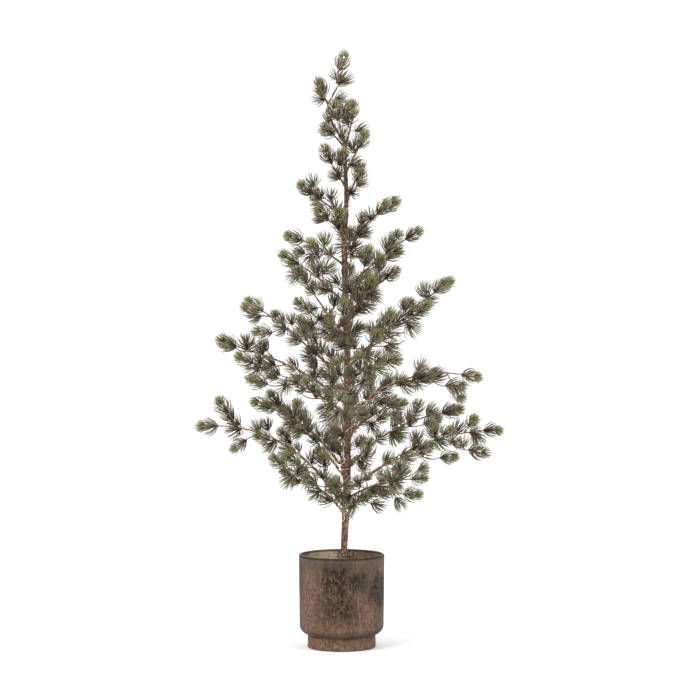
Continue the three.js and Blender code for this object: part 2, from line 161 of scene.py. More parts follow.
# Every bough: name, height of its foot, azimuth, reach, rise, slope at the foot, slope at the tip,
# share of its length that is bare limb, side twigs, seed
BOUGHS = [
    ("left_1", 268, 187, 286, 176, 60, -2, 0.18, 5, 98),
    ("left_2", 262, 222, 184, 124, 46, 34, 0.12, 3, 82),
    ("left_3", 332, 196, 186, 160, 52, 20, 0.3, 3, 160),
    ("left_4", 485, 172, 254, 124, 40, 16, 0.22, 4, 238),
    ("left_5", 537, 190, 196, 150, 34, 28, 0.26, 4, 73),
    ("left_6", 595, 232, 155, 94, 45, 25, 0, 2, 10),
    ("left_7", 616, 128, 152, 130, 40, 45, 0, 2, 253),
    ("left_8", 688, 197, 124, 90, 40, 20, 0, 1, 146),
    ("left_9", 764, 170, 112, 56, 36, 12, 0, 1, 250),
    ("left_10", 820, 228, 72, 50, 45, 30, 0, 1, 128),
    ("left_11", 858, 184, 88, 66, 40, 42, 0, 1, 202),
    ("left_12", 920, 196, 44, 72, 56, 62, 0, 1, 179),
    ("left_13", 1000, 184, 42, 54, 44, 58, 0, 1, 256),
    ("left_14", 462, 194, 172, 84, 40, 12, 0, 3, 152),
    ("right_1", 311, 357, 302, 124, 36, 2, 0.2, 5, 193),
    ("right_2", 296, 320, 194, 50, 26, 4, 0.28, 2, 95),
    ("right_3", 279, 340, 150, 26, 38, -8, 0, 1, 230),
    ("right_4", 262, 304, 150, 74, 42, 8, 0, 2, 109),
    ("right_5", 357, 24, 240, 110, 44, 8, 0.24, 4, 33),
    ("right_6", 463, 352, 258, 78, 40, -14, 0.22, 4, 258),
    ("right_7", 523, 302, 172, 60, 36, 14, 0, 2, 155),
    ("right_8", 557, 8, 206, 170, 46, 32, 0.24, 3, 214),
    ("right_9", 572, 330, 152, 66, 30, 14, 0, 2, 140),
    ("right_10", 649, 318, 128, 104, 48, 30, 0, 2, 205),
    ("right_11", 714, 350, 146, 118, 46, 34, 0, 2, 204),
    ("right_12", 772, 70, 92, 66, 40, 30, 0, 1, 142),
    ("right_13", 798, 6, 98, 92, 50, 32, 0, 1, 171),
    ("right_14", 890, 318, 40, 84, 60, 66, 0, 1, 217),
    ("right_15", 950, 350, 38, 74, 60, 66, 0, 1, 94),
    ("right_16", 418, 321, 140, 74, 44, 16, 0, 2, 229),
    ("front_1", 270, 262, 160, 66, 42, 10, 0, 3, 60),
    ("front_2", 404, 259, 188, 104, 44, 14, 0, 3, 213),
    ("front_3", 450, 286, 180, 110, 44, 16, 0, 2, 252),
    ("front_4", 552, 272, 148, 110, 44, 20, 0, 2, 227),
    ("front_5", 655, 282, 112, 84, 44, 24, 0, 1, 252),
    ("back_1", 288, 97, 236, 130, 44, 8, 0.26, 4, 215),
    ("back_2", 344, 142, 216, 128, 46, 10, 0.26, 4, 85),
    ("back_3", 402, 66, 206, 118, 44, 10, 0.26, 3, 94),
    ("back_4", 470, 112, 188, 118, 44, 14, 0, 3, 179),
    ("back_5", 600, 84, 146, 106, 44, 20, 0, 2, 249),
    ("crown_right", 1004, 34, 20, 82, 66, 84, 0, 1, 139),
    ("crown_left", 996, 222, 18, 84, 66, 86, 0, 1, 142),
    ("crown_hook", 1086, 186, 15, 44, 55, 84, 0, 1, 247),
]

# Camera: the photograph's level view from a little above
CAMERA_PLACE = (0.0168, -5.0, 0.784)
CAMERA_AIM = (0.0168, 0.0, 0.5985)
LENS = 128.15
SENSOR = 36

UP = np.array([0.0, 0.0, 1.0])
MM = 0.001


# Camera

def place_camera():
    data = bpy.data.cameras.new("camera")
    data.lens = LENS
    data.sensor_width = SENSOR
    camera = bpy.data.objects.new("camera", data)
    bpy.context.scene.collection.objects.link(camera)
    camera.location = CAMERA_PLACE
    towards = Vector(CAMERA_AIM) - Vector(CAMERA_PLACE)
    camera.rotation_euler = towards.to_track_quat("-Z", "Y").to_euler()
    bpy.context.scene.camera = camera


place_camera()


# Growing rule

SEED_STEP = 7919
MULTIPLIER = 48271
MODULUS = 2147483647


def seeded(seed):
    state = [seed * SEED_STEP + 1]

    def draw():
        state[0] = (state[0] * MULTIPLIER) % MODULUS
        return state[0] / MODULUS
    return draw


def cos(degrees):
    return math.cos(math.radians(degrees))


def sin(degrees):
    return math.sin(math.radians(degrees))


def heading(azimuth):
    return np.array([cos(azimuth), sin(azimuth), 0])


def unit(v):
    return v / np.linalg.norm(v)


def units(rows):
    return rows / np.linalg.norm(rows, axis=1)[:, None]


def lengths_along(points):
    return np.concatenate([[0], np.cumsum(np.linalg.norm(np.diff(points, axis=0), axis=1))])


def drawn(choice, share):
    return choice[0] + choice[1] * share


def hermite(start, start_slope, end, end_slope, t):
    t2 = t * t
    t3 = t2 * t
    return ((2 * t3 - 3 * t2 + 1) * start + (t3 - 2 * t2 + t) * start_slope
            + (3 * t2 - 2 * t3) * end + (t3 - t2) * end_slope)


def span_of(table, height):
    """The number of the row that a height comes after."""
    i = 0
    while i < len(table) - 2 and height > table[i + 1][0]:
        i += 1
    return i


def trunk_at(height):
    i = span_of(TRUNK_LINE, height)
    a, b = TRUNK_LINE[i], TRUNK_LINE[i + 1]
    before, after = TRUNK_LINE[max(i - 1, 0)], TRUNK_LINE[min(i + 2, len(TRUNK_LINE) - 1)]
    span = b[0] - a[0]
    t = (height - a[0]) / span

    def blend(k):
        slope_a = (b[k] - before[k]) / (b[0] - before[0]) * span
        slope_b = (after[k] - a[k]) / (after[0] - a[0]) * span
        return hermite(a[k], slope_a, b[k], slope_b, t)
    return np.array([blend(1), blend(2), height + LIFT])


def trunk_radius(height):
    i = span_of(TRUNK_RADII, height)
    a, b = TRUNK_RADII[i], TRUNK_RADII[i + 1]
    return a[1] + (b[1] - a[1]) * (height - a[0]) / (b[0] - a[0])


def bough_path(foot, azimuth, reach, rise, steep, flat, steps=0):
    start = trunk_at(foot)
    pull = math.hypot(reach, rise) * CURVE_PULL
    steps = steps or max(2, math.floor(math.hypot(reach, rise) / BEND_STEP + 0.5))
    points = []
    for i in range(steps + 1):
        t = i / steps
        out = hermite(0, pull * cos(steep), reach, pull * cos(flat), t)
        up = hermite(0, pull * sin(steep), rise, pull * sin(flat), t)
        points.append(start + heading(azimuth) * out + UP * up)
    return points


class Line:
    """A polyline with its lengths."""

    def __init__(self, points):
        self.points = np.array(points)
        self.along = lengths_along(self.points)
        self.length = float(self.along[-1])

    def place(self, distance):
        i = 1
        while i < len(self.points) - 1 and self.along[i] < distance:
            i += 1
        a, b = self.points[i - 1], self.points[i]
        share = (distance - self.along[i - 1]) / (self.along[i] - self.along[i - 1])
        return a + (b - a) * share, (b - a) / np.linalg.norm(b - a)


def stretch(line, start, end):
    bends = [d for d in line.along if start + SHORTEST < d < end - SHORTEST]
    return [line.place(d)[0] for d in [start, *bends, end]]


def leaning(direction, spin, lean):
    side = unit(np.cross(direction, UP))
    upper = unit(np.cross(side, direction))
    outward = upper * cos(spin) + side * sin(spin)
    return unit(direction * cos(lean) + outward * sin(lean))


class Space:
    """The balls taken so far: centre, radius, owner and whether they are needles."""

    def __init__(self):
        self.rows = np.zeros((MOST_BALLS, 6))
        self.count = 0
        self.owners = {}

    def owner(self, name):
        return self.owners.setdefault(name, len(self.owners))

    def is_clear(self, balls, name, crowding=CROWDING, loose=False):
        """Needles keep clear of other limbs and masses. Loose ones only keep from crowding needles."""
        me = self.owner(name)
        taken = self.rows[:self.count]
        for at, radius, needles in balls:
            near = taken[(np.abs(taken[:, 0] - at[0]) < radius + LARGEST_BALL)]
            apart = np.linalg.norm(near[:, :3] - at, axis=1) - near[:, 3] - radius
            other = near[:, 4] != me
            if not (loose and needles) and (apart[other] < CLEARANCE).any():
                return False
            crowded = near[:, 5] > 0 if loose else ~other & (near[:, 5] > 0)
            if needles and (apart[crowded] < -crowding * radius).any():
                return False
        return True

    def take(self, balls, name):
        for at, radius, needles in balls:
            self.rows[self.count] = [*at, radius, self.owner(name), needles]
            self.count += 1


def stem_balls(points, start_radius, end_radius):
    line = Line(points)
    count = math.ceil(line.length / BALL_STEP)
    balls = []
    for i in range(count + 1):
        radius = start_radius + (end_radius - start_radius) * i / count + BALL_SWELL
        balls.append((line.place(line.length * i / count)[0], radius, 0))
    return balls


def tuft_balls(tuft):
    base, axis, size = tuft["base"], tuft["axis"], tuft["size"]
    shares = [*TUFT_BALLS, SPRIG_BALL] if tuft["kind"] == "sprig" else TUFT_BALLS
    return [(base + axis * up * size, radius * size, 1) for up, radius in shares]


def grow_tuft(space, mass, base, axis, size, kind, crowding=CROWDING, loose=False):
    tuft = {"base": base, "axis": axis, "size": size, "kind": kind}
    balls = tuft_balls(tuft)
    if not space.is_clear(balls, mass["name"], crowding, loose):
        return False
    mass["tufts"].append(tuft)
    space.take(balls, mass["name"])
    return True


def grow_tufts(space, mass, line, first, station, random):
    side = 1 if random() < 0.5 else -1
    s = first
    while s < line.length - SPRIG_STEM - station * SPRIG_ROOM:
        a, b, c, d = random(), random(), random(), random()
        point, direction = line.place(s + drawn(STATION_DRIFT, d))
        side = -side
        for attempt in range(TRIES):
            axis = leaning(direction, side * drawn(TUFT_SPIN, b) + SPIN_STEP * attempt, drawn(TUFT_LEAN, c))
            if grow_tuft(space, mass, point, axis, TUFT_LENGTH * drawn(TUFT_SCALE, a), "tuft"):
                break
        s += station


def grow_sprig(space, mass, line, random):
    a, b, c = random(), random(), random()
    point, direction = line.place(max(line.length - SPRIG_STEM, SPRIG_LEAST))
    size = TUFT_LENGTH * drawn(SPRIG_SCALE, c)
    axis = leaning(direction, 360 * a, drawn(SPRIG_LEAN, b))
    if not grow_tuft(space, mass, point, axis, size, "sprig"):
        grow_tuft(space, mass, point, axis, size * CROWDED_SIZE, "tuft")


def grow_twig(space, mass, line, distance, twig_length, side, random):
    a, b, c = random(), random(), random()
    point, direction = line.place(distance)
    for attempt in range(TRIES):
        first = leaning(direction, side * drawn(TWIG_SPIN, a) + SPIN_STEP * attempt, drawn(TWIG_LEAN, b))
        second = unit(first + direction * 0.5 + UP * drawn(TWIG_RISE, c))
        knee = point + first * twig_length * 0.5
        twig = Line([point, knee, knee + second * twig_length * 0.5])
        points = stretch(twig, 0, twig.length - SPRIG_STEM + SPRIG_ROOT)
        balls = stem_balls(points, TWIG_RADIUS, TWIG_RADIUS)
        if space.is_clear(balls, mass["name"]):
            mass["stems"].append({"points": points, "line": twig})
            space.take(balls, mass["name"])
            grow_sprig(space, mass, twig, random)
            grow_tufts(space, mass, twig, TWIG_STATION * TWIG_FIRST, TWIG_STATION, random)
            return


def new_mass(name):
    return {"name": "foliage_" + name, "tufts": [], "stems": [], "fine": []}


def read_row(row):
    name, foot, azimuth, reach, rise, steep, flat, bare, twigs, seed = row
    line = Line(bough_path(foot, azimuth, reach, rise, steep, flat))
    smooth = Line(bough_path(foot, azimuth, reach, rise, steep, flat, SMOOTH_STEPS))
    split = bare * line.length
    return {
        "name": name, "foot": foot, "line": line, "smooth": smooth, "split": split,
        "foot_radius": FOOT_BASE + FOOT_GROWTH * line.length, "twigs": twigs, "seed": seed,
        "first": max(split + STATION * 0.5, min(STATION * 0.9, line.length * 0.25)), "station": STATION,
        "mass": new_mass(name), "limb": "bough_" + name,
    }


def leader_row():
    rise = TRUNK_LINE[-1][0] - TRUNK_TOP

    def leader(count):
        return Line([trunk_at(TRUNK_TOP + GAP + rise * i / count) for i in range(count + 1)])
    line = leader(math.floor(rise / LEADER_STEP + 0.5))
    return {
        "name": "crown_top", "line": line, "smooth": leader(LEADER_SMOOTH), "split": 0,
        "first": LEADER_FIRST, "station": LEADER_STATION, "twigs": 0, "seed": LEADER_SEED,
        "mass": new_mass("crown_top"), "limb": "trunk",
    }


def radius_at(row, distance):
    if row["name"] == "crown_top":
        return trunk_radius(TRUNK_TOP + distance)
    return row["foot_radius"] + (TWIG_RADIUS * TIP_SHARE - row["foot_radius"]) * distance / row["line"].length


def grow_tree():
    space = Space()
    rows = [*map(read_row, BOUGHS), leader_row()]
    height = FILL_TOP
    while height <= TRUNK_TOP:
        space.take([(trunk_at(height), trunk_radius(height) + BALL_SWELL, 0)], "trunk")
        height += BALL_STEP
    for row in rows:
        line, split = row["line"], row["split"]
        if split > 0:
            end = split - GAP
            space.take(stem_balls(stretch(line, 0, end), radius_at(row, 0), radius_at(row, end)), row["limb"])
        end = line.length - SPRIG_STEM + SPRIG_ROOT
        space.take(stem_balls(stretch(line, split, end), radius_at(row, split), radius_at(row, end)),
                   row["mass"]["name"])
    for row in rows:
        mass, line, first, twigs = row["mass"], row["line"], row["first"], row["twigs"]
        random = seeded(row["seed"])
        grow_sprig(space, mass, line, random)
        side = 1 if random() < 0.5 else -1
        longest = min(TWIG_LENGTH, TWIG_SHARE * line.length)
        for k in range(twigs):
            share = (k + TWIG_LEFT + TWIG_CHANCE * random()) / (twigs + TWIG_CHANCE)
            distance = first + (line.length - SPRIG_STEM - first) * share
            length = longest * drawn(TWIG_SCALE, random()) * drawn(TWIG_FALL, share)
            grow_twig(space, mass, line, distance, max(length, SPRIG_STEM), side, random)
            side = -side
        grow_tufts(space, mass, line, first, row["station"], random)
    return space, rows


def fine_lines(row, station):
    """The lines that finer twigs spring from, each with its first distance and the length that is bare."""
    start = row["split"] * BARE_SHARE or min(row["first"], station * FINE_START)
    lines = [(row["line"], start, row["split"])]
    lines += [(stem["line"], FINE_STATION, 0) for stem in row["mass"]["stems"]]
    if row["limb"] == "trunk":
        top = Line([trunk_at(height) for height in range(LEADER_BARE, TRUNK_TOP, LEADER_STEP // 2)])
        lines.append((top, 0, top.length))
    return lines


def grow_fine_twig(space, mass, name, point, direction, side, longest, loose, random):
    """Tries one short twig with a small tuft at its tip. Returns the last share that was drawn for it."""
    a, b, c, d = random(), random(), random(), random()
    foot_radius, tip_radius = (TWIG_RADIUS * share for share in FINE_CLEAR)
    holder = {"name": name, "tufts": mass["tufts"]}
    for attempt in range(TRIES):
        towards = leaning(direction, side * drawn(FINE_SPIN, a) + SPIN_STEP * attempt, drawn(FINE_LEAN, b))
        tip = point + towards * longest * drawn(FINE_REACH, c)
        axis = unit(towards + UP * drawn(FINE_RISE, d))
        stem = stem_balls([point, tip], foot_radius, tip_radius)
        size = FINE_TUFT * drawn(FINE_SCALE, b)
        if (space.is_clear(stem, name)
                and grow_tuft(space, holder, tip, axis, size, "small", FINE_CROWDING, loose)):
            mass["fine"].append([point, tip])
            space.take(stem, name)
            break
    return d


def grow_finer(space, rows):
    """Carries the rule on between the tufts, inside each mass's own space."""
    for row in rows:
        random = seeded(row["seed"] + FINE_SEED)
        loose = row["line"].length <= SHORT_STEM
        station = SHORT_STATION if loose else FINE_STATION
        longest = FINE_LENGTH * min(1, row["line"].length / SHORT_STEM)
        end = SPRIG_STEM * (SHORT_END if loose else 1)
        for line, first, bare in fine_lines(row, station):
            side = 1
            distance = first + station * 0.5 * random()
            while distance < line.length - end:
                name = row["limb"] if distance < bare else row["mass"]["name"]
                point, direction = line.place(distance)
                side = -side
                d = grow_fine_twig(
                    space, row["mass"], name, point, direction, side, longest, loose, random)
                distance += station * drawn(FINE_DRIFT, d)


space, rows = grow_tree()
grow_finer(space, rows)


# Meshes from arrays

def finish_piece(piece, nodes=()):
    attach(piece, "root")
    if nodes:
        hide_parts(*nodes)


class Heap:
    """Tubes and needles, in millimetres, gathered into one mesh."""

    def __init__(self):
        self.points = []
        self.triangles = []
        self.coords = []
        self.count = 0

    def add(self, points, triangles, coords):
        self.points.append(points)
        self.triangles.append(triangles + self.count)
        self.coords.append(coords)
        self.count += len(points)

    def piece(self, name, material, slot, nodes=()):
        """Joins what was gathered into one piece that rides on the root body."""
        points = np.concatenate(self.points) * MM
        triangles = np.concatenate(self.triangles).astype(np.int32)
        coords = np.concatenate(self.coords)[triangles.ravel()]
        count = len(triangles)
        mesh = bpy.data.meshes.new(name)
        mesh.vertices.add(len(points))
        mesh.vertices.foreach_set("co", points.astype(np.float32).ravel())
        mesh.loops.add(3 * count)
        mesh.loops.foreach_set("vertex_index", triangles.ravel())
        mesh.polygons.add(count)
        mesh.polygons.foreach_set("loop_start", np.arange(0, 3 * count, 3, dtype=np.int32))
        mesh.polygons.foreach_set("use_smooth", np.ones(count, bool))
        mesh.update(calc_edges=True)
        mesh.uv_layers.new(name="along").data.foreach_set("uv", coords.astype(np.float32).ravel())
        mesh.materials.append(material)
        piece = bpy.data.objects.new(name, mesh)
        bpy.context.scene.collection.objects.link(piece)
        finish_piece(piece, nodes)


def frames_along(points):
    """Tangent, normal and binormal at each point of a line, turning as little as they can."""
    ahead = np.concatenate([points[1:], points[-1:]])
    behind = np.concatenate([points[:1], points[:-1]])
    tangents = units(ahead - behind)
    normal = np.array([1.0, 0, 0]) if abs(tangents[0][0]) < 0.9 else UP
    normals = []
    for tangent in tangents:
        normal = unit(normal - tangent * (normal @ tangent))
        normals.append(normal)
    normals = np.array(normals)
    return tangents, normals, np.cross(tangents, normals)


CAP_SHARE = 0.4


def tube(points, radii, sides):
    """A closed tube along a line. radii holds one radius a ring, or one a point of every ring."""
    points = np.asarray(points, float)
    radii = np.asarray(radii, float)
    if radii.ndim == 1:
        radii = np.repeat(radii[:, None], sides, axis=1)
    tangents, normals, binormals = frames_along(points)
    angles = np.arange(sides) * 2 * math.pi / sides
    rings = (points[:, None, :]
             + normals[:, None, :] * (np.cos(angles)[None, :] * radii)[:, :, None]
             + binormals[:, None, :] * (np.sin(angles)[None, :] * radii)[:, :, None])
    count = len(points)
    start = points[0] - tangents[0] * radii[0].mean() * CAP_SHARE
    end = points[-1] + tangents[-1] * radii[-1].mean() * CAP_SHARE
    vertices = np.concatenate([rings.reshape(-1, 3), [start, end]])
    i, k = np.meshgrid(np.arange(count - 1), np.arange(sides), indexing="ij")
    a = i * sides + k
    b = i * sides + (k + 1) % sides
    c, d = a + sides, b + sides
    walls = np.concatenate([np.stack([a, b, d], -1).reshape(-1, 3), np.stack([a, d, c], -1).reshape(-1, 3)])
    k = np.arange(sides)
    nxt = (k + 1) % sides
    last = (count - 1) * sides
    bottom = np.stack([np.full(sides, count * sides), nxt, k], -1)
    top = np.stack([np.full(sides, count * sides + 1), last + k, last + nxt], -1)
    along = lengths_along(points)
    coords = np.concatenate([
        np.stack([np.repeat(along * MM, sides), np.tile(np.arange(sides) / sides, count)], -1),
        [[0, 0], [along[-1] * MM, 0]]])
    return vertices, np.concatenate([walls, bottom, top]), coords


def smooth_line(points, step):
    """A rounded line through a few points, with a point about every step."""
    points = np.asarray(points, float)
    padded = np.concatenate([[2 * points[0] - points[1]], points, [2 * points[-1] - points[-2]]])
    out = [points[0]]
    for i in range(len(points) - 1):
        p0, p1, p2, p3 = padded[i:i + 4]
        count = max(1, round(np.linalg.norm(p2 - p1) / step))
        for k in range(1, count + 1):
            t = k / count
            out.append(0.5 * (2 * p1 + (p2 - p0) * t + (2 * p0 - 5 * p1 + 4 * p2 - p3) * t * t
                              + (3 * p1 - p0 - 3 * p2 + p3) * t * t * t))
    return np.array(out)


# Materials

def linear(red, green, blue):
    """A colour read on the 0 to 255 scale, as the shader takes it."""
    def one(value):
        share = value / 255
        return share / 12.92 if share <= 0.04045 else ((share + 0.055) / 1.055) ** 2.4
    return (one(red), one(green), one(blue), 1)


class Net:
    """The nodes of one material or group, and short ways to add more and use their outputs."""

    def __init__(self, tree):
        self.nodes = tree.nodes
        self.links = tree.links

    def feed(self, sockets, values):
        """Gives each named socket its value, or a link where the value is another node's output."""
        for label, value in values.items():
            if hasattr(value, "is_output"):
                self.links.new(value, sockets[label])
            else:
                sockets[label].default_value = value

    def add(self, kind, output, values, **settings):
        node = self.nodes.new("ShaderNode" + kind)
        for label, setting in settings.items():
            setattr(node, label, setting)
        self.feed(node.inputs, values)
        return node.outputs[output]

    def place(self):
        return self.add("TexCoord", "Object", {})

    def part(self, vector, axis):
        return self.add("SeparateXYZ", axis, {0: vector})

    def squashed(self, vector, height):
        """The same place with its height scaled down, which draws a pattern out upright."""
        return self.add("Mapping", "Vector", {"Vector": vector, "Scale": (1, 1, height)})

    def noise(self, vector, scale, detail, roughness):
        values = {"Vector": vector, "Scale": scale, "Detail": detail, "Roughness": roughness}
        return self.add("TexNoise", "Fac", values)

    def ramp(self, value, stops):
        """A ramp between stops, each a place with a colour, or with one number for a grey."""
        node = self.nodes.new("ShaderNodeValToRGB")
        line = node.color_ramp
        while len(line.elements) < len(stops):
            line.elements.new(0.5)
        for element, (place, colour) in zip(line.elements, stops):
            element.position = place
            element.color = colour if isinstance(colour, tuple) else (colour, colour, colour, 1)
        self.feed(node.inputs, {"Fac": value})
        return node.outputs["Color"]

    def mixed(self, mask, first, second, blend="MIX"):
        return self.add("Mix", 2, {0: mask, 6: first, 7: second}, data_type="RGBA", blend_type=blend)

    def maths(self, operation, first, second):
        return self.add("Math", 0, {0: first, 1: second}, operation=operation)

    def sum(self, first, *others):
        for other in others:
            first = self.maths("ADD", first, other)
        return first

    def product(self, first, second):
        return self.maths("MULTIPLY", first, second)

    def swing(self, value, amount):
        """Moves a noise to swing about 0 by up to half the amount."""
        return self.product(self.maths("SUBTRACT", value, 0.5), amount)

    def rise(self, value, none, full, most=1.0):
        """Rises from 0 where the value is none to most where it is full."""
        values = {"Value": value, "From Min": none, "From Max": full, "To Min": 0, "To Max": most}
        return self.add("MapRange", "Result", values, interpolation_type="SMOOTHSTEP")

    def bump(self, height, strength, distance):
        return self.add("Bump", "Normal", {"Height": height, "Strength": strength, "Distance": distance})


def new_group(name, given, made):
    """A node group with its net, what it is given and what it makes."""
    group = bpy.data.node_groups.new(name, "ShaderNodeTree")
    for direction, labels in (("INPUT", given), ("OUTPUT", made)):
        for label in labels:
            kind = "NodeSocketFloat" if label in ("Size", "Roughness", "Height") else "NodeSocketColor"
            group.interface.new_socket(label, in_out=direction, socket_type=kind)
    inside = group.nodes.new("NodeGroupInput").outputs
    outside = group.nodes.new("NodeGroupOutput").inputs
    return group, Net(group), inside, outside


def new_material(name):
    """A material with its net and the inputs of its shader."""
    material = bpy.data.materials.new(name)
    material.use_nodes = True
    return material, Net(material.node_tree), material.node_tree.nodes["Principled BSDF"].inputs


def grouped_material(name, group, colours):
    """A material coloured by a group that is given these colours, by label. Also returns the group's node."""
    material, net, shader = new_material(name)
    node = net.nodes.new("ShaderNodeGroup")
    node.node_tree = group
    net.feed(node.inputs, {label: linear(*colour) for label, colour in colours.items()})
    net.feed(shader, {"Base Color": node.outputs["Color"]})
    return material, net, shader, node


def paper_bark_group():
    """Crumpled paper wound round wire: painted shade in the creases, pinkish flecks on the raised bits that
    are partly the paper's own speckle and partly a painted highlight, and painted shade towards the crown.
    """
    group, net, given, made = new_group("paper_bark", ("Base", "Dark", "Fleck", "Size"), ("Color", "Height"))
    place = net.add("VectorMath", 0, {0: net.place(), "Scale": given["Size"]}, operation="SCALE")
    creases = net.noise(net.squashed(place, 0.6), 230, 4, 0.7)
    broad = net.noise(place, 90, 3, 0.6)
    flecks = net.noise(net.squashed(place, 0.7), 280, 3, 0.6)
    # Painted shade in the sunken creases, and a painted highlight over the paper's own pale speckle on the
    # raised flecks
    dark = net.ramp(creases, [(0.38, 1), (0.52, 0)])
    light = net.ramp(flecks, [(0.52, 0), (0.64, 1)])
    shade = net.ramp(broad, [(0.3, (0.6, 0.57, 0.56, 1)), (0.7, (1.25, 1.22, 1.2, 1))])
    colour = net.mixed(1, given["Base"], shade, "MULTIPLY")
    colour = net.mixed(net.product(dark, 0.8), colour, given["Dark"])
    colour = net.mixed(net.product(light, 0.85), colour, given["Fleck"])
    # Painted shade: darker towards the crown, where the needles close round the trunk and twigs
    crown_shade = net.rise(net.part(net.place(), "Z"), 0.5, 0.95, 0.4)
    colour = net.mixed(crown_shade, colour, given["Dark"])
    net.feed(made, {"Color": colour, "Height": net.sum(creases, flecks)})
    return group


def bark_material(name, group, size, colours):
    material, net, shader, node = grouped_material(name, group, colours)
    node.inputs["Size"].default_value = size
    net.feed(shader, {"Normal": net.bump(node.outputs["Height"], 0.6, 0.0006), "Roughness": 0.9})
    return material


def needle_group():
    """Moulded needles: a little browner at the foot and darker there as painted shade at the fan's crowded
    base, greyer towards the tip and lighter there as a painted highlight, and no two alike.
    """
    group, net, given, made = new_group("moulded_needle", ("Base", "Shaded_foot", "Lit_tip"), ("Color", "Roughness"))
    uv = net.add("UVMap", "UV", {}, uv_map="along")
    along = net.part(uv, "X")
    own = net.part(uv, "Y")
    # Painted shade darkens the foot and a painted highlight lightens the tip
    colour = net.mixed(net.ramp(along, [(0.0, 1), (0.4, 0)]), given["Base"], given["Shaded_foot"])
    colour = net.mixed(net.ramp(along, [(0.55, 0), (1.0, 1)]), colour, given["Lit_tip"])
    speckle = net.noise(net.place(), 900, 2, 0.5)
    value = net.sum(net.product(own, 0.7), net.product(speckle, 0.3))
    colour = net.mixed(1, colour, net.ramp(value, [(0.0, 0.5), (1.0, 1.5)]), "MULTIPLY")
    net.feed(made, {"Color": colour, "Roughness": net.ramp(own, [(0.0, 0.6), (1.0, 0.85)])})
    return group


def needle_material(name, base, foot, tip):
    colours = {"Base": base, "Shaded_foot": foot, "Lit_tip": tip}
    material, net, shader, node = grouped_material(name, moulded_needle, colours)
    net.feed(shader, {"Roughness": node.outputs["Roughness"], "Specular IOR Level": 0.3})
    return material


# Patches of the glaze, and one ring of painted shade among the dark ones: centre and reach in metres, and
# strength
DARK_PATCHES_AND_SHADE = [
    ((-0.012, -0.085, 0.144), (0.058, 0.1, 0.058), 1.4),
    ((0.024, -0.085, 0.14), (0.048, 0.1, 0.042), 1.3),
    ((-0.004, -0.085, 0.104), (0.072, 0.1, 0.09), 1.1),
    ((0.08, -0.045, 0.122), (0.038, 0.08, 0.056), 1.8),
    ((-0.086, -0.01, 0.142), (0.02, 0.06, 0.05), 1.1),
    # A ring of painted shade round the body, just above the foot's neck
    ((0.0, 0.0, 0.031), (0.5, 0.5, 0.014), 0.75),
    ((0.016, 0.08, 0.165), (0.03, 0.05, 0.04), 1.0),
    ((0.05, 0.07, 0.11), (0.06, 0.08, 0.06), 1.1),
    ((-0.06, 0.06, 0.08), (0.05, 0.08, 0.06), 0.9),
]
VEIL_PATCHES = [
    ((0.0, -0.1, 0.18), (0.3, 0.17, 0.036), 1.25),
    ((0.05, -0.08, 0.14), (0.04, 0.09, 0.06), 0.8),
    ((0.09, -0.02, 0.075), (0.036, 0.1, 0.1), 1.5),
    ((-0.09, -0.0, 0.09), (0.026, 0.08, 0.1), 1.0),
    ((-0.05, 0.07, 0.165), (0.06, 0.07, 0.05), 1.4),
]
# Heights in metres where the painted highlight on the lip's top and the painted shade just below it begin
LIP_HIGHLIGHT_HEIGHT = 0.1871
LIP_SHADE_HEIGHT = 0.1825


def patches(net, place, rows):
    """A field that is strongest at the middle of each patch and falls to 0 at its reach."""
    field = 0
    for centre, reach, strength in rows:
        scale = [1 / r for r in reach]
        location = [-c / r for c, r in zip(centre, reach)]
        shrunk = net.add("Mapping", "Vector", {"Scale": scale, "Location": location, "Vector": place})
        away = net.add("VectorMath", "Value", {0: shrunk}, operation="LENGTH")
        field = net.maths("MAXIMUM", field, net.product(net.maths("SUBTRACT", 1, away), strength))
    return field


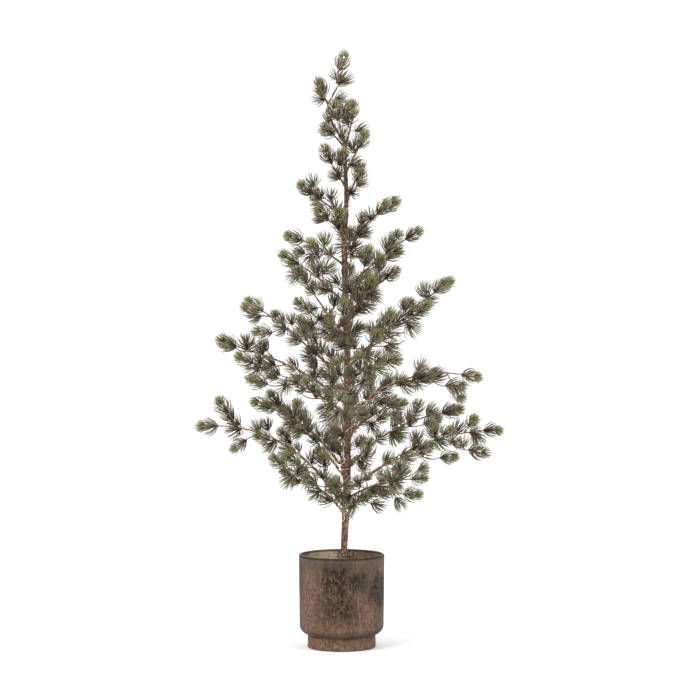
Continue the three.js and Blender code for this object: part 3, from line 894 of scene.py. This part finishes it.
def glaze_group():
    """A reactive glaze: mottled brown ground, a smooth grey veil, dark patches with runs, a ring of painted
    shade above the foot, a painted highlight on the lip's top and painted shade just below it.
    """
    group, net, given, made = new_group(
        "reactive_glaze", ("Ground", "Veil", "Dark", "Fleck", "Lip_highlight"), ("Color", "Roughness", "Height"))
    place = net.place()
    clouds = net.noise(place, 20, 5, 0.65)
    mottle = net.noise(net.squashed(place, 0.6), 230, 6, 0.72)
    grain = net.noise(place, 400, 5, 0.75)
    runs = net.noise(net.squashed(place, 0.16), 110, 4, 0.65)
    unrest = net.sum(net.swing(runs, 1.1), net.swing(mottle, 1.3), net.swing(clouds, 1.0))
    # Dark glaze patches with runs, and the ring of painted shade above the foot
    dark = net.rise(net.sum(patches(net, place, DARK_PATCHES_AND_SHADE), unrest), 0.02, 1.0)
    dark = net.product(dark, net.sum(net.rise(mottle, 0.6, 0.42, 0.5), 0.5))
    veil = net.sum(patches(net, place, VEIL_PATCHES), net.swing(clouds, 2.2), net.swing(mottle, 0.9))
    edge = net.sum(net.part(place, "Z"), net.swing(mottle, 0.003))
    colour = given["Ground"]
    for mask, label in (
            (net.rise(mottle, 0.5, 0.64, 0.75), "Fleck"),
            (net.rise(veil, 0.2, 0.6, 0.85), "Veil"),
            (net.rise(mottle, 0.5, 0.32, 0.75), "Dark"),
            (net.rise(grain, 0.46, 0.3, 0.6), "Dark"),
            (net.rise(grain, 0.56, 0.7, 0.75), "Fleck"),
            (dark, "Dark"),
            # Painted shade just below the lip, then a painted highlight on its top
            (net.rise(edge, LIP_SHADE_HEIGHT, LIP_SHADE_HEIGHT + 0.002, 0.8), "Dark"),
            (net.rise(edge, LIP_HIGHLIGHT_HEIGHT, LIP_HIGHLIGHT_HEIGHT + 0.0008, 0.85), "Lip_highlight")):
        colour = net.mixed(mask, colour, given[label])
    roughness = net.sum(net.product(runs, 0.3), 0.42)
    height = net.sum(net.product(mottle, 0.7), net.product(grain, 0.3))
    net.feed(made, {"Color": colour, "Roughness": roughness, "Height": height})
    return group


def glaze_material(name, colours):
    material, net, shader, node = grouped_material(name, reactive_glaze, colours)
    normal = net.bump(node.outputs["Height"], 0.3, 0.0008)
    roughness = node.outputs["Roughness"]
    net.feed(shader, {"Roughness": roughness, "Normal": normal, "Specular IOR Level": 0.12})
    return material


def fill_material():
    material, net, shader = new_material("cast_fill")
    place = net.place()
    grain = net.noise(place, 700, 4, 0.7)
    value = net.sum(net.product(grain, 0.6), net.product(net.noise(place, 40, 3, 0.5), 0.4))
    stops = [(0.35, linear(58, 46, 38)), (0.5, linear(92, 76, 62)), (0.65, linear(128, 110, 94))]
    normal = net.bump(grain, 0.8, 0.001)
    net.feed(shader, {"Base Color": net.ramp(value, stops), "Normal": normal, "Roughness": 0.95})
    return material


def wire_material():
    material, net, shader = new_material("light_wire")
    tarnish = net.noise(net.place(), 300, 2, 0.5)
    colour = net.ramp(tarnish, [(0.3, linear(222, 200, 176)), (0.7, linear(250, 236, 218))])
    net.feed(shader, {"Base Color": colour, "Metallic": 0.6, "Roughness": 0.35})
    return material


def drop_material():
    material, net, shader = new_material("light_drop")
    glow = {"Emission Color": linear(255, 244, 222), "Emission Strength": 1.6}
    net.feed(shader, {"Base Color": linear(120, 104, 84), "Roughness": 0.3, **glow})
    return material


paper_bark = paper_bark_group()
TRUNK_BARK = bark_material(
    "trunk_bark", paper_bark, 1.0, {"Base": (98, 72, 56), "Dark": (32, 21, 15), "Fleck": (184, 148, 124)})
TWIG_BARK = bark_material(
    "twig_bark", paper_bark, 1.3, {"Base": (120, 85, 67), "Dark": (56, 38, 28), "Fleck": (172, 136, 112)})
moulded_needle = needle_group()
# Needle colours as base, foot and tip: the darker foot is painted shade, the lighter tip a painted highlight
DARK_NEEDLES = [
    needle_material("needles_olive", (121, 114, 86), (86, 78, 58), (144, 137, 111)),
    needle_material("needles_grey", (131, 123, 99), (92, 84, 66), (156, 148, 126)),
    needle_material("needles_brown", (98, 88, 68), (71, 62, 46), (121, 112, 90)),
    needle_material("needles_moss", (113, 110, 81), (82, 77, 56), (136, 133, 105)),
]
YOUNG_NEEDLES = [
    needle_material("young_fresh", (120, 120, 78), (98, 95, 62), (142, 140, 100)),
    needle_material("young_soft", (128, 126, 87), (106, 101, 69), (150, 147, 110)),
    needle_material("young_deep", (110, 112, 71), (90, 89, 57), (130, 131, 92)),
]
reactive_glaze = glaze_group()
# The lip's colour is a painted highlight
LIP_HIGHLIGHT = (128, 120, 102)
POT_GLAZE = glaze_material("pot_glaze", {
    "Ground": (100, 76, 61), "Veil": (82, 71, 60), "Dark": (28, 22, 12), "Fleck": (138, 112, 94), "Lip_highlight": LIP_HIGHLIGHT})
POT_INSIDE = glaze_material("pot_inside", {
    "Ground": (116, 94, 78), "Veil": (182, 168, 146), "Dark": (48, 38, 26), "Fleck": (176, 160, 138),
    "Lip_highlight": LIP_HIGHLIGHT})
CAST_FILL = fill_material()
LIGHT_WIRE = wire_material()
LIGHT_DROP = drop_material()


# Trunk and boughs with the relief of their wrapping

TRUNK_SIDES = 20
TRUNK_STEP = 2.5
BOUGH_SIDES = 12
BOUGH_STEP = 3.5
TRUNK_BELOW = 6
TRUNK_ABOVE = 8

# Winding: depth of the crumpling, and the pitch of the raised edge
TRUNK_WINDING = (0.34, 17)
BOUGH_WINDING = (0.15, 11)
EDGE_WIDTH = 0.12
CRUMPLE_SHARE = 1.4
EDGE_SHARE = 0.6

# Swelling at a bough's foot: height (the trunk's as a share of the bough's radius), place and spread
TRUNK_SWELL = (0.13, 4, 11)
BOUGH_SWELL = (0.9, 5, 7)


def relief(count, sides, random, winding, step):
    """Crumpled paper: smoothed random bumps and the raised edge of a winding, in millimetres."""
    depth, pitch = winding
    rough = random.normal(0, 1, (count, sides))
    soft = (rough + np.roll(rough, 1, 1) + np.roll(rough, -1, 1)) / 3
    soft[1:-1] = (soft[:-2] + soft[1:-1] * 2 + soft[2:]) / 4
    i, k = np.meshgrid(np.arange(count), np.arange(sides), indexing="ij")
    phase = (i * step / pitch + k / sides) % 1
    edge = np.exp(-((phase - 0.5) / EDGE_WIDTH) ** 2)
    return depth * (soft * CRUMPLE_SHARE + edge * EDGE_SHARE)


def swelling(places, swell, foot=0):
    height, place, spread = swell
    return height * np.exp(-((places - foot - place) / spread) ** 2)


def make_trunk():
    random = np.random.default_rng(7)
    count = round((TRUNK_TOP - FILL_TOP + TRUNK_BELOW + TRUNK_ABOVE) / TRUNK_STEP)
    heights = FILL_TOP - TRUNK_BELOW + np.arange(count + 1) * TRUNK_STEP
    points = np.array([trunk_at(max(h, FILL_TOP)) + UP * min(h - FILL_TOP, 0) for h in heights])
    radii = np.array([trunk_radius(max(h, FILL_TOP)) for h in heights])
    for row in rows[:-1]:
        radii += row["foot_radius"] * swelling(heights, TRUNK_SWELL, row["foot"])
    surface = radii[:, None] + relief(count + 1, TRUNK_SIDES, random, TRUNK_WINDING, TRUNK_STEP)
    heap = Heap()
    heap.add(*tube(points, surface, TRUNK_SIDES))
    heap.piece("trunk_bark", TRUNK_BARK, "bark", ["trunk"])


def make_boughs():
    random = np.random.default_rng(11)
    heap = Heap()
    nodes = []
    for row in rows[:-1]:
        smooth = row["smooth"]
        end = smooth.length - SPRIG_STEM + SPRIG_ROOT
        if row["split"] > 0:
            nodes.append(row["limb"])
        count = round(end / BOUGH_STEP)
        places = np.arange(count + 1) * end / count
        points = np.array([smooth.place(s)[0] for s in places])
        radii = np.array([radius_at(row, s) for s in places]) + swelling(places, BOUGH_SWELL)
        surface = radii[:, None] + relief(count + 1, BOUGH_SIDES, random, BOUGH_WINDING, BOUGH_STEP)
        heap.add(*tube(points, surface, BOUGH_SIDES))
    heap.piece("bough_bark", TWIG_BARK, "bark", nodes)


# Twigs, and the stem that runs out through each sprig

TWIG_SIDES = 7
TWIG_STEP = 6
FINE_SIDES = 5
CORE_SIDES = 6
LEADER_SIDES = 8
LEADER_STEPS = 16

# The stem inside a tuft: points along it, and how far it reaches as a share of the tuft's size
SPRIG_CORE = (7, 1.02)
TUFT_CORE = (4, 0.42)

# How near to a bough's line a point counts as on it
ON_LINE = 0.01


def nearest(line, point):
    starts = line.points[:-1]
    spans = line.points[1:] - starts
    share = np.clip(((point - starts) * spans).sum(1) / (spans ** 2).sum(1), 0, 1)
    places = starts + spans * share[:, None]
    return places[np.argmin(np.linalg.norm(places - point, axis=1))]


def on_smooth(row, point):
    """Moves a point of a bough's stepped line onto its smooth one. Other points stay."""
    if np.linalg.norm(nearest(row["line"], point) - point) > ON_LINE:
        return point
    return nearest(row["smooth"], point)


def add_stem(heap, points, taper, sides):
    radii = np.linspace(TWIG_RADIUS * taper[0], TWIG_RADIUS * taper[1], len(points))
    heap.add(*tube(points, radii, sides))


def make_twigs():
    heap = Heap()
    for row in rows:
        mass = row["mass"]
        for tuft in mass["tufts"]:
            tuft["base"] = on_smooth(row, tuft["base"])
        for stem in mass["stems"]:
            points = smooth_line([on_smooth(row, stem["points"][0]), *stem["points"][1:]], TWIG_STEP)
            add_stem(heap, points, TWIG_TAPER, TWIG_SIDES)
        for point, tip in mass["fine"]:
            points = [on_smooth(row, point), point * 0.5 + tip * 0.5, tip]
            add_stem(heap, points, FINE_TAPER, FINE_SIDES)
        for tuft in mass["tufts"]:
            count, reach = SPRIG_CORE if tuft["kind"] == "sprig" else TUFT_CORE
            axis = tuft["axis"] * tuft["size"] * reach
            points = [tuft["base"] + axis * i / (count - 1) for i in range(count)]
            add_stem(heap, points, CORE_TAPER, CORE_SIDES)
    leader = rows[-1]["smooth"]
    points = [leader.place(leader.length * i / LEADER_STEPS)[0] for i in range(LEADER_STEPS + 1)]
    add_stem(heap, points, (trunk_radius(TRUNK_TOP) / TWIG_RADIUS, 1), LEADER_SIDES)
    heap.piece("twigs", TWIG_BARK, "bark", [row["mass"]["name"] for row in rows])


# Needles

NEEDLE_RADIUS = 1.03
NEEDLE_START = 0.4
NEEDLE_RINGS = (0.0, 0.33, 0.68)
NEEDLE_TAPER = (0.75, 1.0, 0.85)
NEEDLE_POINTS = 10
GOLDEN_ANGLE = 2.39996
ANGLE_SPREAD = 0.16
SWAY_SPREAD = 0.05
SLOPE_STEP = 0.05
EVEN_RISE = 0.55
LATE_RISE = 0.45
DARK_COUNT = 31
SMALL_COUNT = 24
YOUNG_COUNT = 32

# Which of the dark colours each tuft may take, near the trunk and further out. Near the trunk the darker
# brown comes up more often: painted shade inside the tree
SHADED_INNER_REACH = 75
INNER_SHADED_PICKS = (2, 2, 0, 3)
OUTER_SHADES = (0, 1, 2, 3)
YOUNG_SHARE = 0.05

# Shapes of fans, as shares of the tuft's size. Where needles leave the axis: the first one's place and how
# far below it the last is. Then the tips' reach outward and their reach along the axis, each as the first
# needle's, what the last one adds or lacks, the power of the change between them, and the range of chance
SPRIG_SHAPE = ((0.41, 0.4), (0.12, 0.52, 0.7), (0.84, 1.12), (1.13, 0.3, 2), (0.86, 1.06))
TUFT_SHAPE = ((0.41, 0.4), (0.14, 0.5, 0.62), (0.88, 1.1), (1.14, 0.32, 2), (0.84, 1.06))
YOUNG_SHAPE = ((0.9, 0.14), (0.06, 0.4, 0.7), (0.86, 1.12), (1.38, 0.3, 1.6), (0.94, 1.04))

# How needles curve: the power that they bend with, and the share by which they close in again at the tip
SPRIG_CURVE = (1.9, 0.2)
YOUNG_CURVE = (2.2, 0.3)
TUFT_BEND = (1.2, 0.7)
TUFT_CLOSING = (0, 0.22)
YOUNG_WIDTH = 0.9


def needles(base, axis, radius, out_end, up_start, up_end, curve, random):
    """Arrays of slim three-sided needles round an axis. Each leaves it outward and curves along it."""
    count = len(out_end)
    bend, closing = curve
    turn = random.uniform(0, 6.28)
    across = unit(np.cross(axis, UP if abs(axis[2]) < 0.9 else np.array([1.0, 0, 0])))
    other = np.cross(axis, across)
    angles = turn + np.arange(count) * GOLDEN_ANGLE + random.normal(0, ANGLE_SPREAD, count)
    outward = across[None] * np.cos(angles)[:, None] + other[None] * np.sin(angles)[:, None]
    sideways = np.cross(axis[None], outward)
    sway = random.normal(0, SWAY_SPREAD, count) * (up_end - up_start)

    def at(t):
        out = NEEDLE_START + (out_end - NEEDLE_START) * (1 - (1 - t) ** bend) * (1 - closing * t * t)
        up = up_start + (up_end - up_start) * (EVEN_RISE * t + LATE_RISE * t * t ** 0.5)
        return (base[None] + outward * out[:, None] + axis[None] * up[:, None]
                + sideways * (sway * t * t)[:, None])

    rings = []
    for t, taper in zip(NEEDLE_RINGS, NEEDLE_TAPER):
        centre = at(t)
        tangent = units(at(t + SLOPE_STEP) - at(max(t - SLOPE_STEP, 0)))
        first = units(sideways - tangent * (sideways * tangent).sum(1)[:, None])
        second = np.cross(tangent, first)
        width = radius * taper
        for k in range(3):
            rings.append(centre + first * width * cos(120 * k) + second * width * sin(120 * k))
    points = np.stack([*rings, at(1.0)], 1)
    faces = [(0, 2, 1)]
    for ring in range(2):
        for k in range(3):
            a, b = ring * 3 + k, ring * 3 + (k + 1) % 3
            faces += [(a, b, b + 3), (a, b + 3, a + 3)]
    faces += [(6 + k, 6 + (k + 1) % 3, 9) for k in range(3)]
    triangles = (np.array(faces)[None] + (np.arange(count) * NEEDLE_POINTS)[:, None, None]).reshape(-1, 3)
    shares = np.repeat([*NEEDLE_RINGS, 1.0], [3, 3, 3, 1])
    own = random.uniform(0, 1, count)
    coords = np.stack([np.tile(shares, count), np.repeat(own, NEEDLE_POINTS)], -1)
    return points.reshape(-1, 3), triangles, coords


def fan(tuft, shape, count, curve, random, radius=NEEDLE_RADIUS):
    """The needles of a tuft. The lowest reach out the most and the highest up the most, but for chance."""
    size = tuft["size"]
    (start, fall), (out, spread, out_power), out_chance, (up, drop, up_power), up_chance = shape
    q = (np.arange(count) + 0.5) / count
    up_start = size * (start - fall * q)
    out_end = size * (out + spread * q ** out_power) * random.uniform(*out_chance, count)
    up_end = size * (up - drop * q ** up_power) * random.uniform(*up_chance, count)
    return needles(tuft["base"], tuft["axis"], radius, out_end, up_start, up_end, curve, random)


def dark_fan(tuft, random):
    if tuft["kind"] == "sprig":
        return fan(tuft, SPRIG_SHAPE, DARK_COUNT, SPRIG_CURVE, random)
    count = SMALL_COUNT if tuft["kind"] == "small" else DARK_COUNT
    curl = random.uniform(0, 1)
    return fan(tuft, TUFT_SHAPE, count, (drawn(TUFT_BEND, curl), drawn(TUFT_CLOSING, curl)), random)


def young_fan(tuft, random):
    return fan(tuft, YOUNG_SHAPE, YOUNG_COUNT, YOUNG_CURVE, random, NEEDLE_RADIUS * YOUNG_WIDTH)


def make_needles():
    random = np.random.default_rng(23)
    dark = [Heap() for _ in DARK_NEEDLES]
    young = [Heap() for _ in YOUNG_NEEDLES]
    for row in rows:
        for tuft in row["mass"]["tufts"]:
            height = min(tuft["base"][2] - LIFT, TRUNK_TOP)
            away = np.linalg.norm(tuft["base"][:2] - trunk_at(height)[:2])
            # Tufts near the trunk take the darker brown more often: painted shade inside the tree
            shades = INNER_SHADED_PICKS if away < SHADED_INNER_REACH else OUTER_SHADES
            if tuft["kind"] != "sprig" and random.random() < YOUNG_SHARE:
                young[random.integers(len(young))].add(*dark_fan(tuft, random))
                continue
            dark[shades[random.integers(len(shades))]].add(*dark_fan(tuft, random))
            if tuft["kind"] == "sprig":
                young[random.integers(len(young))].add(*young_fan(tuft, random))
    nodes = [row["mass"]["name"] for row in rows]
    for heap, material in zip(dark, DARK_NEEDLES):
        heap.piece(material.name, material, "needles", nodes)
    for heap, material in zip(young, YOUNG_NEEDLES):
        heap.piece(material.name, material, "young_needles", nodes)


# Micro lights: a fine wire wound up the trunk, loops of it out along boughs and twigs, and the drops on it

WIRE_RADIUS = 0.65
WIRE_STAND = 1.6
WIRE_STEP = 2.5
WIRE_PITCH = 58
WIRE_SWAY = 45
SWAY_RATE = 9
WIRE_SIDES = 5
RETURN_TURN = 150
STAND_POWER = 6
LOOP_START = 2
LOOP_SLACK = 0.8
SLACK_RATE = 7
DROP_LENGTH = 5
DROP_SIDES = 8
DROP_RADII = (0.7, 1.6, 2.0, 1.7, 0.9)
DROP_FACING = np.array([0, -0.8, 0.6])

# Drops on the trunk's wire: height, azimuth, distance from the bark
TRUNK_LIGHTS = [
    (247, 200, 0), (270, 290, 1), (316, 300, 8), (354, 222, 12), (362, 220, 12), (418, 222, 13),
    (508, 235, 12), (554, 225, 14), (620, 60, 0), (698, 300, 9), (776, 70, 0), (856, 222, 11), (974, 255, 1),
    (1062, 250, 1), (1122, 265, 1), (1178, 270, 2),
]

# Loops: bough, number of its twig or none, and the distances of the drops along it
LIGHT_LOOPS = [
    ("left_1", None, (45, 78, 159, 285)), ("left_2", None, (23, 31)), ("left_14", None, (105,)),
    ("left_4", None, (60, 150)), ("left_3", None, (90,)), ("right_1", None, (45, 171)), ("right_1", 0, (24,)),
    ("right_1", 1, (39,)), ("right_5", None, (36, 140)), ("right_6", None, (45, 150)),
    ("right_8", None, (110,)), ("back_1", None, (90, 190)), ("back_2", None, (60, 150)),
    ("back_3", None, (30, 120)), ("back_4", None, (80, 150)), ("back_5", None, (90,)),
    ("left_7", None, (80,)), ("right_12", None, (50,)), ("front_1", None, (120,)),
]


def trunk_wire(heap, drops):
    points = []
    angle = TRUNK_LIGHTS[0][1]
    for (low, _, near), (high, azimuth, far) in zip(TRUNK_LIGHTS, TRUNK_LIGHTS[1:]):
        turns = max(0, round((high - low) / WIRE_PITCH) - 1)
        target = angle + (azimuth - angle) % 360 + 360 * turns
        count = math.ceil((high - low) / WIRE_STEP)
        for i in range(count):
            t = i / count
            height = low + (high - low) * t
            stand = trunk_radius(height) + WIRE_STAND + near * (1 - t) ** STAND_POWER + far * t ** STAND_POWER
            turn = angle + (target - angle) * t + WIRE_SWAY * sin(height * SWAY_RATE) * sin(180 * t)
            points.append(trunk_at(height) + stand * heading(turn))
        angle = target
        stand = trunk_radius(high) + WIRE_STAND + far
        drops.append(trunk_at(high) + stand * heading(azimuth))
    heap.add(*tube(points, np.full(len(points), WIRE_RADIUS), WIRE_SIDES))


def wire_loop(heap, drops, line, thickness, places):
    """Out along a limb to its last drop and back, loosely round it. Each drop comes out at the front."""
    stops = [0, *places]
    turns = np.concatenate([[0], np.cumsum([max(1, round(gap / WIRE_PITCH)) for gap in np.diff(stops)])])

    def at(distance, phase):
        point, direction = line.place(distance)
        side = unit(np.cross(direction, UP))
        upper = np.cross(side, direction)
        front = math.degrees(math.atan2(DROP_FACING @ side, DROP_FACING @ upper))
        turn = front + 360 * float(np.interp(distance, stops, turns)) + phase
        stand = thickness(distance) + WIRE_STAND + LOOP_SLACK * (1 + sin(SLACK_RATE * distance + phase))
        return point + (upper * cos(turn) + side * sin(turn)) * stand
    out = np.arange(LOOP_START, max(places), WIRE_STEP)
    points = [*(at(s, 0) for s in out), *(at(s, RETURN_TURN) for s in out[::-1])]
    heap.add(*tube(points, np.full(len(points), WIRE_RADIUS), WIRE_SIDES))
    drops += [at(s, 0) for s in places]


def make_lights():
    wires, drops = Heap(), []
    trunk_wire(wires, drops)
    by_name = {row["name"]: row for row in rows}
    for name, twig, places in LIGHT_LOOPS:
        row = by_name[name]
        if twig is None:
            wire_loop(wires, drops, row["smooth"], lambda s: radius_at(row, s), places)
        else:
            wire_loop(wires, drops, row["mass"]["stems"][twig]["line"], lambda s: TWIG_RADIUS, places)
    wires.piece("light_wire", LIGHT_WIRE, "light_wire")
    heap = Heap()
    for drop in drops:
        last = len(DROP_RADII) - 1
        points = [drop + DROP_FACING * DROP_LENGTH * i / last for i in range(last + 1)]
        heap.add(*tube(points, DROP_RADII, DROP_SIDES))
    heap.piece("light_drops", LIGHT_DROP, "light_drop")


# Pot

# Unevenness: scale and strength in metres, and depth of detail. Creases: the least angle that stays sharp
POT_WOBBLE = (0.06, 0.0008, 1)
FILL_GRAIN = (0.006, 0.0014, 3)
POT_CREASE = 40
FILL_CREASE = 60


def arc(centre_x, centre_y, radius, start, end, count):
    return [(centre_x + radius * cos(start + (end - start) * i / count),
             centre_y + radius * sin(start + (end - start) * i / count)) for i in range(count + 1)]


def straight(start, end, count):
    return [(start[0] + (end[0] - start[0]) * i / count, start[1] + (end[1] - start[1]) * i / count)
            for i in range(1, count)]


def pot_profile():
    corner = BODY_LOW_RADIUS - BODY_CORNER
    lip = WALL / 2
    low_wall = (BODY_LOW_RADIUS, BODY_BOTTOM + BODY_CORNER)
    high_wall = (RIM_RADIUS, POT_HEIGHT - lip)
    inner_high = (RIM_RADIUS - WALL, POT_HEIGHT - lip)
    inner_low = (corner + BODY_CORNER - WALL, BODY_BOTTOM + BODY_CORNER)
    return [
        (20, 0.6), (45, 0.6), (60, 0.4), (FOOT_RADIUS - 4, 0),
        *arc(FOOT_RADIUS - FOOT_ROUND, FOOT_ROUND, FOOT_ROUND, -90, 0, 4),
        *straight((FOOT_RADIUS, FOOT_ROUND), (FOOT_RADIUS, BODY_BOTTOM - 4), 4),
        (FOOT_RADIUS - 0.2, BODY_BOTTOM - 3.5), (NECK_RADIUS + 0.3, BODY_BOTTOM - 1.4),
        (NECK_RADIUS, BODY_BOTTOM - 0.3), (NECK_RADIUS + 1.2, BODY_BOTTOM + 0.5),
        *arc(corner, BODY_BOTTOM + BODY_CORNER, BODY_CORNER, -78, 0, 12),
        *straight(low_wall, high_wall, 24),
        *arc(RIM_RADIUS - lip, POT_HEIGHT - lip, lip, 0, 180, 8),
        *straight(inner_high, inner_low, 12),
        *arc(corner, BODY_BOTTOM + BODY_CORNER, BODY_CORNER - WALL, 0, -90, 5),
        *[(radius, BODY_BOTTOM + WALL) for radius in INNER_RADII],
    ]


def select_only(piece):
    bpy.ops.object.select_all(action="DESELECT")
    piece.select_set(True)
    bpy.context.view_layer.objects.active = piece


def turned(name, profile, sides):
    """A closed body of revolution, raised ring by ring from a circle as on a wheel."""
    bpy.ops.object.select_all(action="DESELECT")
    radius, height = profile[0]
    bpy.ops.mesh.primitive_circle_add(vertices=sides, radius=radius * MM, fill_type="TRIFAN",
                                      location=(0, 0, height * MM))
    piece = bpy.context.object
    piece.name = name
    bpy.ops.object.transform_apply(location=True, rotation=True, scale=True)
    select_only(piece)
    bpy.ops.object.mode_set(mode="EDIT")
    bpy.ops.mesh.select_mode(type="EDGE")
    bpy.ops.mesh.select_all(action="SELECT")
    bpy.ops.mesh.region_to_loop()
    for (radius, height), (wide, high) in zip(profile, profile[1:]):
        bpy.ops.mesh.extrude_edges_move(TRANSFORM_OT_translate={"value": (0, 0, (high - height) * MM)})
        share = wide / radius
        bpy.ops.transform.resize(value=(share, share, 1), center_override=(0, 0, high * MM))
    bpy.ops.mesh.edge_face_add()
    bpy.ops.mesh.select_mode(type="FACE")
    bpy.ops.mesh.poke()
    bpy.ops.mesh.select_all(action="SELECT")
    bpy.ops.mesh.normals_make_consistent(inside=False)
    bpy.ops.object.mode_set(mode="OBJECT")
    return piece


def displaced(piece, scale, strength, depth):
    """Small unevenness of a thing made by hand."""
    texture = bpy.data.textures.new(piece.name + "_wobble", "CLOUDS")
    texture.noise_scale = scale
    texture.noise_depth = depth
    modifier = piece.modifiers.new("wobble", "DISPLACE")
    modifier.texture = texture
    modifier.texture_coords = "LOCAL"
    modifier.strength = strength
    modifier.mid_level = 0.5
    select_only(piece)
    bpy.ops.object.modifier_apply(modifier="wobble")


def make_pot():
    pot = turned("pot_body", pot_profile(), POT_SIDES)
    displaced(pot, *POT_WOBBLE)
    bpy.ops.object.shade_smooth_by_angle(angle=math.radians(POT_CREASE))
    pot.data.materials.append(POT_GLAZE)
    pot.data.materials.append(POT_INSIDE)
    for face in pot.data.polygons:
        outward = face.center.x * face.normal.x + face.center.y * face.normal.y
        if outward < 0 and face.center.z > BODY_BOTTOM * MM:
            face.material_index = 1
    finish_piece(pot, ["pot"])


def make_fill():
    corner = BODY_LOW_RADIUS - BODY_CORNER
    inner = BODY_CORNER - WALL - GAP
    wide = corner + inner
    top = FILL_TOP + LIFT
    fill = turned("pot_filling", [
        (20, BODY_BOTTOM + WALL + GAP), (corner, BODY_BOTTOM + WALL + GAP),
        *arc(corner, BODY_BOTTOM + BODY_CORNER, inner, -90, 0, 5)[1:],
        *straight((wide, BODY_BOTTOM + BODY_CORNER), (wide, top - 2), 4),
        (wide, top - 2),
        *[(wide - (wide - 4) * i / FILL_RINGS, top - 0.6) for i in range(FILL_RINGS + 1)],
    ], FILL_SIDES)
    displaced(fill, *FILL_GRAIN)
    bpy.ops.object.shade_smooth_by_angle(angle=math.radians(FILL_CREASE))
    fill.data.materials.append(CAST_FILL)
    finish_piece(fill, ["pot_fill"])


# Floor and light

FLOOR_WHITE = (0.985, 0.985, 0.985, 1)
FLOOR_LEVEL = -0.0005
SKY_STRENGTH = 1.05
LAMP_AIM = Vector((0, 0, 0.5))

# Lamps: name, place and width in metres, and power in watts
LAMPS = [("key", (-2.4, -2.6, 2.6), 1.6, 90), ("side", (2.6, -1.8, 1.8), 1.4, 45)]


def make_floor():
    material, net, shader = new_material("pale_floor")
    net.feed(shader, {"Base Color": FLOOR_WHITE, "Roughness": 1.0})
    bpy.ops.object.select_all(action="DESELECT")
    bpy.ops.mesh.primitive_plane_add(size=40, location=(0, 0, FLOOR_LEVEL))
    floor = bpy.context.object
    floor.name = "floor"
    floor.data.materials.append(material)


def make_sky():
    world = bpy.data.worlds.new("studio")
    world.use_nodes = True
    background = world.node_tree.nodes["Background"].inputs
    background["Color"].default_value = (1, 1, 1, 1)
    background["Strength"].default_value = SKY_STRENGTH
    bpy.context.scene.world = world
    bpy.context.scene.view_settings.view_transform = "Standard"


def make_lamp(name, place, width, power):
    data = bpy.data.lights.new(name, "AREA")
    data.size = width
    data.energy = power
    lamp = bpy.data.objects.new(name, data)
    bpy.context.scene.collection.objects.link(lamp)
    lamp.location = place
    lamp.rotation_euler = (LAMP_AIM - Vector(place)).to_track_quat("-Z", "Y").to_euler()


make_trunk()
make_boughs()
make_twigs()
make_needles()
make_lights()
make_pot()
make_fill()
make_floor()
make_sky()
for lamp in LAMPS:
    make_lamp(*lamp)
